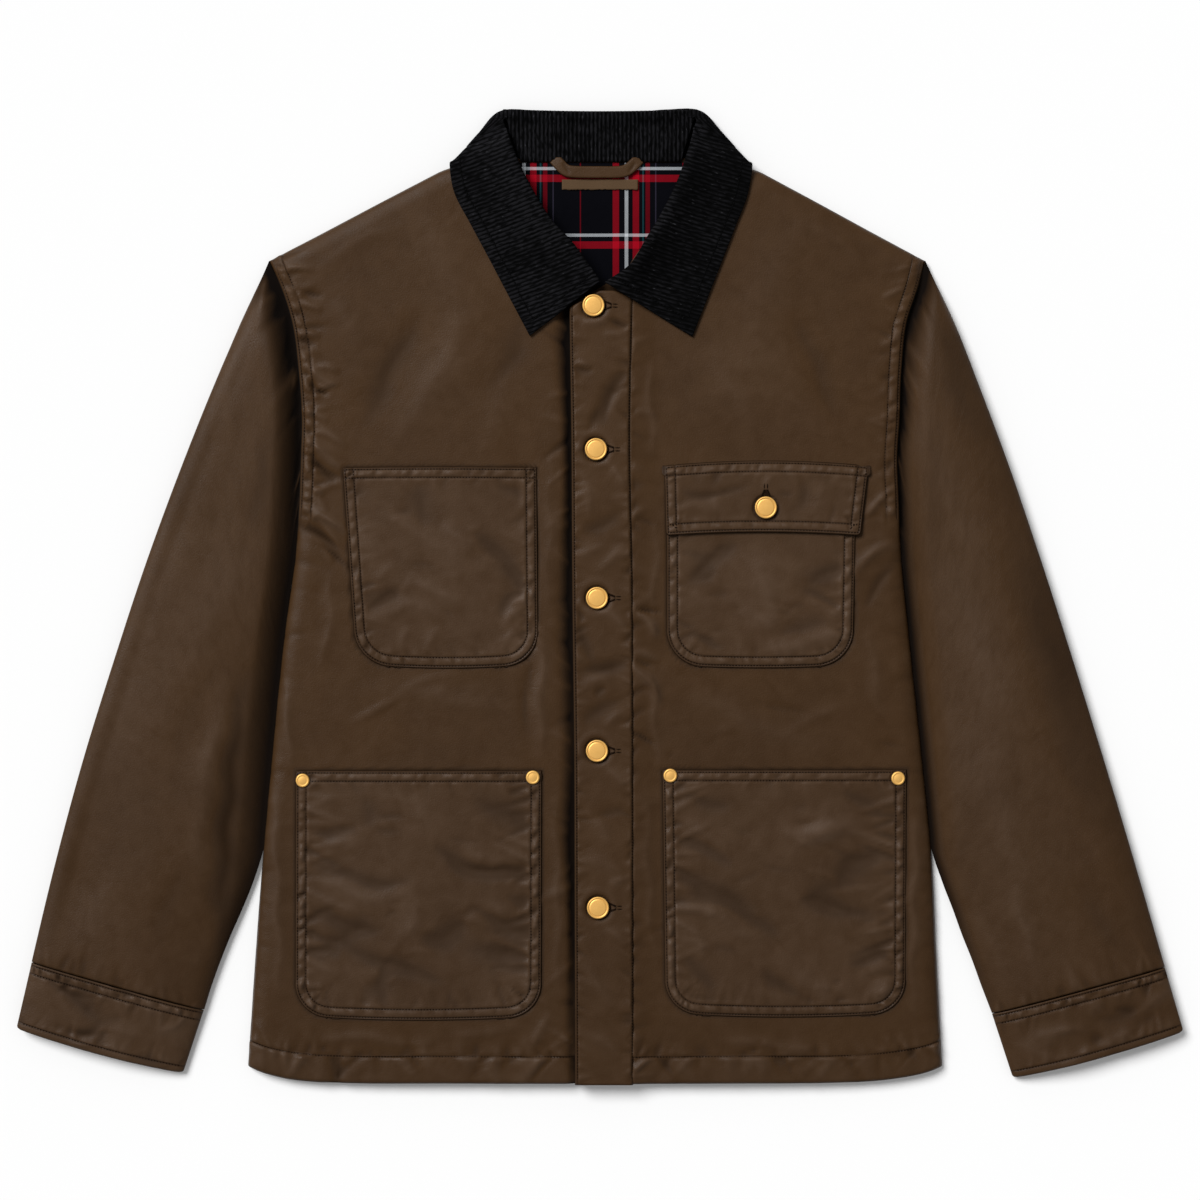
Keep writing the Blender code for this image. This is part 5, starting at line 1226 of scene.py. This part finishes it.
def fall_surface(stations, shares):
    """Points over the fall at stations round the neck and shares from roll to outer edge: over
    the front on its support, and past the shoulders round the turn and on underneath."""
    keyed = np.column_stack([np.arange(float(len(FALL))), FALL])
    roll_x, roll_y, turn_x, turn_y, edge_x, edge_y, rise = through(keyed, stations).T[:, :, None]
    reach = np.hypot(turn_x - roll_x, turn_y - roll_y)
    ahead_x, ahead_y = (turn_x - roll_x) / reach, (turn_y - roll_y) / reach
    under = np.hypot(edge_x - turn_x, edge_y - turn_y)
    hang = np.minimum(under / HANG, 1.0)
    radius = 0.5 * (collar_support(turn_x, turn_y) + LAY_GAP + CORDUROY)
    kept_back = np.sin(np.minimum(math.pi * hang, 0.5 * math.pi))
    distance = np.linspace(0.0, 1.0, 60)[None] * (reach - radius * kept_back)
    x, y = roll_x + distance * ahead_x, roll_y + distance * ahead_y
    at_back = smooth_step(8.3, 9.2, BACK_STATION - np.abs(stations - BACK_STATION))[:, None]
    lies_at = (1 - at_back) * (collar_support(x, y) + LAY_GAP + CORDUROY) + at_back * STAND_HIGH
    drop = ROLL_DROP * np.minimum(rise / 3.0, 1.0) * (1.0 - rounding(distance, 6.0))
    z = lies_at + 1.5 * rise * np.exp(-(distance / ROLL_SPREAD) ** 2) - drop
    z = np.maximum(z, lining_top(y) + 2 * LAY_GAP + CORDUROY)
    # round the turn, then on to the hidden edge
    angle = math.pi * hang * np.linspace(0.0, 1.0, 13)[None, 1:]
    curl = 0.5 * z[:, -1:]
    swing = curl * np.sin(angle)
    turned_x, turned_y = x[:, -1:] + swing * ahead_x, y[:, -1:] + swing * ahead_y
    turned_z = z[:, -1:] - curl * (1.0 - np.cos(angle))
    goes_on = smooth_step(HANG - 1.0, HANG + 1.0, under)
    last = [turned_x[:, -1:] + goes_on * (edge_x - turned_x[:, -1:]),
            turned_y[:, -1:] + goes_on * (edge_y - turned_y[:, -1:]), turned_z[:, -1:] * (1.0 - goes_on)]
    path = np.stack([np.concatenate(row, axis=1) for row in
                     ((x, turned_x, last[0]), (y, turned_y, last[1]), (z, turned_z, last[2]))], axis=-1)
    step = np.linalg.norm(np.diff(path, axis=1), axis=2) + 1e-6
    length = np.concatenate([np.zeros((len(stations), 1)), np.cumsum(step, axis=1)], axis=1)
    shift = 1e4 * np.arange(len(stations))[:, None]
    at = (shares[None] * length[:, -1:] + shift).ravel()
    keys = (length + shift).ravel()
    points = np.stack([np.interp(at, keys, path[..., axis].ravel()) for axis in range(3)], axis=-1)
    return points.reshape(len(stations), len(shares), 3), shares[None] * length[:, -1:], length[:, -1:]


def stood_off(points, height):
    """The points moved out along the surface's own normals by a height at each of them."""
    normal = np.cross(np.gradient(points, axis=1), np.gradient(points, axis=0))
    normal /= np.linalg.norm(normal, axis=-1, keepdims=True) + 1e-9
    return points + normal * (height * smooth_step(0.15, 0.6, normal[..., 2]))[..., None]


black_corduroy = corduroy("black_corduroy")
dense = np.linspace(0.0, len(FALL) - 1.0, 1201)
middle = fall_surface(dense, np.array([0.0, 0.55]))[0][:, 1]
gone = run_along(middle)
stations = np.interp(np.linspace(0.0, gone[-1], 640), gone, dense)
shares = share(graded(0.0, 100.0, 2.1, (0.0, 8.0, 1.1), (100.0, 4.0, 1.1)))
points, out_from_roll, width = fall_surface(stations, shares)
x, y = points[..., 0], points[..., 1]
# the wales count across each fall, and from its corner on they count along the back of the neck
is_right = (stations < BACK_STATION)[:, None]
lean = np.where(is_right, *WALE_LEAN)
corner_x = np.where(is_right, -CORNER[0], CORNER[0])
from_corner = np.where(is_right, x - corner_x, corner_x - x)
across_back = from_corner + CORNER[1] * np.cos(lean) - corner_x * np.sin(lean)
to_back = smooth_step(7.4, 8.8, BACK_STATION - np.abs(stations - BACK_STATION))[:, None]
across_wales = (1 - to_back) * (y * np.cos(lean) - x * np.sin(lean)) + to_back * across_back
along_wales = (1 - to_back) * (x * np.cos(lean) + y * np.sin(lean)) + to_back * y
ribs = 0.5 + 0.5 * np.cos(2.0 * math.pi * across_wales / WALE)
edge_in = width - out_from_roll
run = np.interp(stations, dense, gone)
end_in = np.minimum(gone[-1] - run, run)[:, None]
from_edge = np.minimum(edge_in, end_in)
groove = -0.7 * np.exp(-((from_edge - COLLAR_ROW) / 1.1) ** 2) - 0.9 * (1.0 - rounding(from_edge, 1.6))
points = stood_off(points, WALE_HEIGHT * ribs * smooth_step(0.0, 1.0, from_edge) + groove)
points[..., 2] = np.maximum(points[..., 2], TABLE_CLEARANCE + FALL_WALL)
# painted shade over the wearer's left fall, from the back of the neck on
left_fall_shade = -0.55 * smooth_step(11.0, 15.0, stations)[:, None] * smooth_step(4.0, 14.0, out_from_roll)
cloth("collar_fall_cloth", "collar_fall", points[:, ::-1], black_corduroy, left_fall_shade[:, ::-1],
      np.abs(from_edge - COLLAR_ROW)[:, ::-1], wall=FALL_WALL,
      grain=np.stack([across_wales, along_wales], axis=-1)[:, ::-1])

across, up = np.linspace(0.0, 1.0, 290), share(graded(0.0, 42.0, 2.4, (42.0, 6.0, 0.6)))
low = np.stack([STAND_SEAM[0] + across * (STAND_SEAM[1] - STAND_SEAM[0]), np.full(290, STAND_SEAM[2])], -1)
high_x = STAND_ROLL[0] + across * (STAND_ROLL[1] - STAND_ROLL[0])
high = np.stack([high_x, STAND_ROLL[2] + 1.8 * (2.0 * across - 1.0) ** 2], -1)
plan = low[None] + up[:, None, None] * (high - low)[None]
ribs = 0.5 + 0.5 * np.cos(2.0 * math.pi * plan[..., 0] / WALE)
over_roll = smooth_step(0.72, 0.86, up)[:, None] * (1.0 - smooth_step(62.0, 76.0, np.abs(plan[..., 0])))
to_top = (high - plan)[..., 1]
height = STAND_LOW + (STAND_HIGH - STAND_LOW) * up[:, None] + 1.6 * over_roll + 0.6 * (ribs - 1.0)
height = height - 3.6 * (1.0 - rounding(to_top, 2.6))
cloth("collar_stand_cloth", "collar_stand", raised(plan, height), black_corduroy, 0.0, NO_ROW,
      wall=1.2)

# the row of stitches: at each station the point of the fall that lies the row's distance from
# its outer edge, as far as it shows, then the same along both collar points' ends
inside = np.argmin(np.abs(edge_in - COLLAR_ROW), axis=1)
row_path = points[np.arange(len(stations)), inside] + (0.0, 0.0, COLLAR_THREAD_LIFT)
rows = []
for half in (stations < BACK_STATION, stations > BACK_STATION):
    shows = half & (np.abs(stations - BACK_STATION) > 5.8) & (end_in[:, 0] > COLLAR_ROW)
    rows.append(row_path[shows])
for half in (stations > BACK_STATION, stations < BACK_STATION):
    station = np.argmin(np.abs(end_in[:, 0] - COLLAR_ROW + 1e3 * half))
    rows.append(points[station, 6:inside[station]] + (0.0, 0.0, COLLAR_THREAD_LIFT))
sewn("collar_stitches", rows, pitch=2.6, long=1.8, thread=spun("thread_black", (0.003, 0.003, 0.0032)))

# ===== Inside the neck =====
# The back's tartan lining, a hanger loop of the jacket's cotton sewn into the neck seam, and a
# plain woven patch below it.
LINING_HALF_WIDTH, LINING_LOW, LINING_HIGH = 76.0, 165.0, 346.4
LOOP = [
    (-36.5, 349.5), (-32.5, 345), (-28, 340.6), (-21, 338.7), (0, 338.4), (15, 338.6), (21.5, 340.2),
    (27, 344.6), (31.5, 349.5)]
LOOP_WIDTH, LOOP_CLOTH, LOOP_LIFT = 9.6, 1.0, 2.1
# from x, y, to x, y, bow, half width, height
LINING_CREASES = [
    (58, 330, 40, 270, 3, 9, 0.8), (-40, 340, -24, 290, -3, 10, 0.6), (6, 330, 16, 262, 3, 9, 0.5)]
LOOP_CREASES = [(-29, 345, -22, 336, 0, 1.6, -0.5), (27, 345, 21, 336, 0, 1.6, -0.5)]
LABEL_SIZE, LABEL_Y, LABEL_CLOTH = (60.8, 8.0), 328.8, 0.8
LABEL_COLOURS = (0.055, 0.030, 0.013), (0.095, 0.055, 0.026)
INK, RED, WHITE = (0.0013, 0.0013, 0.0026), (0.30, 0.0020, 0.010), (0.48, 0.51, 0.54)
TEAL, DEEP_RED, LILAC = (0.01, 0.06, 0.07), (0.16, 0.001, 0.006), (0.035, 0.03, 0.05)
# the check across and up: where a repeat starts, its stripes (at, width, colour), its size
TARTAN_ACROSS = 19.4, [(0.0, 3.2, WHITE), (6.6, 5.2, RED), (14.2, 1.2, TEAL), (16.8, 3.6, DEEP_RED),
                       (24.6, 0.9, LILAC), (46.4, 0.8, DEEP_RED), (72.6, 5.2, RED)], 82.0
TARTAN_UP = -343.2, [(0.0, 2.6, WHITE), (6.4, 5.8, RED)], 53.0


def tartan(name):
    """Woven check of charted stripes: the warp's and the weft's colours share every point, with
    fine twill lines where one passes over the other."""
    check = Finish(name, Roughness=0.9, Specular_IOR_Level=0.05)
    at = check.place()
    parts = check.node("SeparateXYZ", at).outputs
    sets = []
    for axis, way, start, stripes, repeat in (("X", 1.0, *TARTAN_ACROSS), ("Y", -1.0, *TARTAN_UP)):
        repeats = check.sums("MULTIPLY_ADD", parts[axis], way / (repeat * MM), -start / repeat + 1000.0)
        ramp = check.node("ValToRGB")
        ramp.color_ramp.interpolation = "CONSTANT"
        ramp.color_ramp.elements.remove(ramp.color_ramp.elements[1])
        ramp.color_ramp.elements[0].color = (*INK, 1.0)
        for begin, wide, colour in stripes:
            ramp.color_ramp.elements.new(begin / repeat).color = (*colour, 1.0)
            ramp.color_ramp.elements.new((begin + wide) / repeat).color = (*INK, 1.0)
        check.links.new(check.sums("FRACT", repeats), ramp.inputs["Fac"])
        sets.append(ramp.outputs["Color"])
    lines = check.sums("MULTIPLY", check.sums("ADD", parts["X"], parts["Y"]), 7000.0)
    twill = check.sums("MULTIPLY_ADD", check.sums("SINE", lines), 0.22, 0.5)
    check.gives(check.blend(twill, *sets), "Base Color")
    check.bumps((twill, 0.00008), (check.noise(at, 90.0), 0.0006))
    return check.material


x, y = np.linspace(-LINING_HALF_WIDTH, LINING_HALF_WIDTH, 62), np.linspace(LINING_LOW, LINING_HIGH, 74)
plan = np.stack(np.meshgrid(x, y), axis=-1)
relief = creases(plan[..., 0], plan[..., 1], LINING_CREASES)
cloth("back_lining_cloth", "back_lining", raised(plan, lining_top(plan[..., 1]) + relief),
      tartan("tartan_lining"), relief, NO_ROW, wall=0.9)

stops = np.arange(float(len(LOOP)))
centre = through(np.column_stack([stops, LOOP]), np.linspace(0.0, stops[-1], 90))
heading = np.gradient(centre, axis=0)
heading /= np.linalg.norm(heading, axis=1)[:, None]
normal = np.stack([-heading[:, 1], heading[:, 0]], axis=-1)
band = np.linspace(-0.5, 0.5, 11)
plan = np.stack([centre + offset * LOOP_WIDTH * normal for offset in band])
plan[..., 1] = np.minimum(plan[..., 1], LINING_HIGH + 4.0)
relief = -0.5 * (1.0 - rounding(LOOP_WIDTH * (0.5 - np.abs(band)), 1.2))[:, None] + 0.0 * plan[..., 0]
relief = relief + creases(plan[..., 0], plan[..., 1], LOOP_CREASES)
arched = np.sin(np.linspace(0.0, math.pi, 90)) ** 0.5
height = lining_top(plan[..., 1]) + LAY_GAP + LOOP_CLOTH + LOOP_LIFT * arched
cloth("hanger_loop_cloth", "hanger_loop", raised(plan, height + relief), cotton_trim, relief, NO_ROW,
      wall=0.9)

label_cloth = Finish("label_cloth", Roughness=0.8, Specular_IOR_Level=0.2)
weave = label_cloth.noise(label_cloth.place(), 1200.0, 3.0)
label_cloth.gives(label_cloth.blend(weave, *LABEL_COLOURS), "Base Color")
label_cloth.bumps((weave, 0.0001))
plan = np.stack(np.meshgrid(np.linspace(-0.5, 0.5, 50) * LABEL_SIZE[0],
                            LABEL_Y + np.linspace(-0.5, 0.5, 9) * LABEL_SIZE[1]), axis=-1)
frayed = np.random.default_rng(71).uniform(-0.5, 0.35, 50)
plan[0, :, 1] += frayed
height = lining_top(plan[..., 1]) + LAY_GAP + LABEL_CLOTH + 0.15 * np.sin(plan[..., 0] / 4.0)
cloth("label_patch_cloth", "label_patch", raised(plan, height), label_cloth.material, 0.0, NO_ROW,
      wall=0.6)

# ===== Buttons and rivets =====
# Matt brass buttons with a fine turned ring inside a rounded rim, on shanks through the
# buttonholes, and capped brass rivets at the upper corners of the hip pockets.
BRASS_LIGHT, BRASS_DARK = (0.80, 0.46, 0.125), (0.70, 0.385, 0.095)
BUTTON_SUNK, RIVET_SUNK = 0.6, 0.2      # how far each is pressed into the cloth

brass = Finish("matt_brass", Metallic=0.55)
cast, fine = brass.noise(brass.place(), 260.0, 3.0), brass.noise(brass.place(), 3000.0, 2.0)
brass.gives(brass.blend(cast, BRASS_DARK, BRASS_LIGHT), "Base Color")
brass.gives(brass.between(fine, 0.3, 0.7, 0.42, 0.58), "Roughness")
brass.bumps((fine, 0.00003))


def turned(name, node, profile, steps, place):
    """A profile (radius, height), from the axis at the top round to the axis below, turned about
    its axis at a place: whole rings between two single points."""
    profile = np.array(profile, float)
    rings, count = profile[1:-1], len(profile) - 2
    angle = np.arange(steps) * 2.0 * math.pi / steps
    plan = rings[:, None, :1] * np.stack([np.cos(angle), np.sin(angle)], axis=-1)
    points = raised(plan, np.broadcast_to(rings[:, 1:], (count, steps))).reshape(-1, 3)
    points = np.concatenate([points, [(0, 0, profile[0, 1]), (0, 0, profile[-1, 1])]]) + np.array(place)
    here = np.arange(steps)
    ahead = (here + 1) % steps
    base = (np.arange(count - 1) * steps)[:, None]
    quads = np.stack([base + here, base + steps + here, base + steps + ahead, base + ahead], -1)
    top, low = np.full(steps, count * steps), (count - 1) * steps
    fans = [*zip(top, here, ahead), *zip(top + 1, low + ahead, low + here)]
    faces = quads.reshape(-1, 4).tolist() + [tuple(map(int, fan)) for fan in fans]
    piece = made(name, points, faces, brass.material, smooth=True)
    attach(piece, "root")
    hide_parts(node)


def button_profile(shank):
    """A button's turned profile on a shank that goes down by the given depth."""
    r = 0.5 * BUTTON_DIAMETER
    return [(0, 2.75), (r - 2.9, 2.7), (r - 2.2, 2.62), (r - 1.95, 2.35), (r - 1.7, 2.35), (r - 1.4, 2.8),
            (r - 0.8, 3.05), (r - 0.3, 2.8), (r, 2.2), (r - 0.05, 1.7), (r - 0.5, 1.2), (r - 1.6, 0.9),
            (2.2, 0.8), (1.8, 0.4), (1.8, -shank), (0, -shank)]


for i, (x, y) in enumerate(BUTTONS):
    seat = float(front_left_top(x, y)) + 2 * LAY_GAP + PATCH_CLOTH - BUTTON_SUNK
    turned(f"front_button_{i + 1}_brass", f"front_button_{i + 1}", button_profile(2.2), 56, (x, y, seat))
x, y = FLAP_BUTTON
seat = float(flap_base(x, y)) + LAY_GAP - BUTTON_SUNK
turned("flap_button_brass", "flap_button", button_profile(1.4), 56, (x, y, seat))


def buttonhole(x, y, heading, surface):
    """Paths of a worked buttonhole: close stitches over both lips, which draw together away from
    the button, and a bar of long stitches at its end."""
    ahead = np.array([math.cos(heading), math.sin(heading)])
    side = np.array([-ahead[1], ahead[0]])
    lips, bar = [], []

    def on(plan):
        plan = np.array(plan)
        return np.column_stack([plan, surface(plan[:, 0], plan[:, 1]) + 0.35])

    for away in np.linspace(7.5, 14.0, 9):
        open_by = np.interp(away, (7.5, 14.0), (3.0, 0.35))
        for turn in (-1.0, 1.0):
            at = np.array([x, y]) + away * ahead
            lips.append(on([at + turn * open_by * side, at + turn * (open_by + 1.7) * side]))
    for off in (-1.2, 1.2):
        at = np.array([x, y]) + off * side
        bar.append(on([at + 15.0 * ahead, at + 19.2 * ahead]))
    edges = (5.0, -1), (8.0, -1), (11.0, -1), (14.5, 0), (11.0, 1), (8.0, 1), (5.0, 1)
    slit = on([(x, y) + away * ahead + turn * np.interp(away, (5.0, 14.5), (3.4, 0.2)) * side
               for away, turn in edges])
    return lips, bar, slit


lips, bars, slits = [], [], []
holes = [(*at, 0.0, lambda x, y: placket_surface(x, y)[0]) for at in BUTTONS]
holes.append((*FLAP_BUTTON, 0.5 * math.pi, lambda x, y: patch_surface(x, y, FLAP, PATCH_SEEDS[-1])[0]))
for hole in holes:
    hole_lips, hole_bar, slit = buttonhole(*hole)
    lips += hole_lips
    bars += hole_bar
    slits.append(slit)
sewn("buttonhole_lips", lips, pitch=1.6, long=1.9, wide=0.85, high=0.8)
sewn("buttonhole_bars", bars, pitch=4.0, long=4.0, wide=0.8, high=0.9)
# the slits are dark brown faces laid just under the cloth: painted shade in the open buttonholes
slit_shade_points = np.concatenate(slits) - (0.0, 0.0, 0.15)
outlines = [tuple(range(7 * i, 7 * i + 7)) for i in range(len(slits))]
slit_shade_piece = made("buttonhole_slits", slit_shade_points, outlines, thread_brown)
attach(slit_shade_piece, "root")

for i, (x, y) in enumerate(RIVETS):
    r = 0.5 * RIVET_DIAMETER
    seat = float(pocket_base(x, y, POCKETS[2] if x < 0 else POCKETS[3])) - RIVET_SUNK
    turned(f"rivet_{i + 1}_brass", f"rivet_{i + 1}",
           [(0, 1.9), (r - 2.3, 1.9), (r - 1.8, 1.75), (r - 1.4, 2.0), (r - 0.7, 2.0), (r - 0.15, 1.5),
            (r, 0.9), (r - 0.1, 0.0), (0, -0.3)], 40, (x, y, seat))
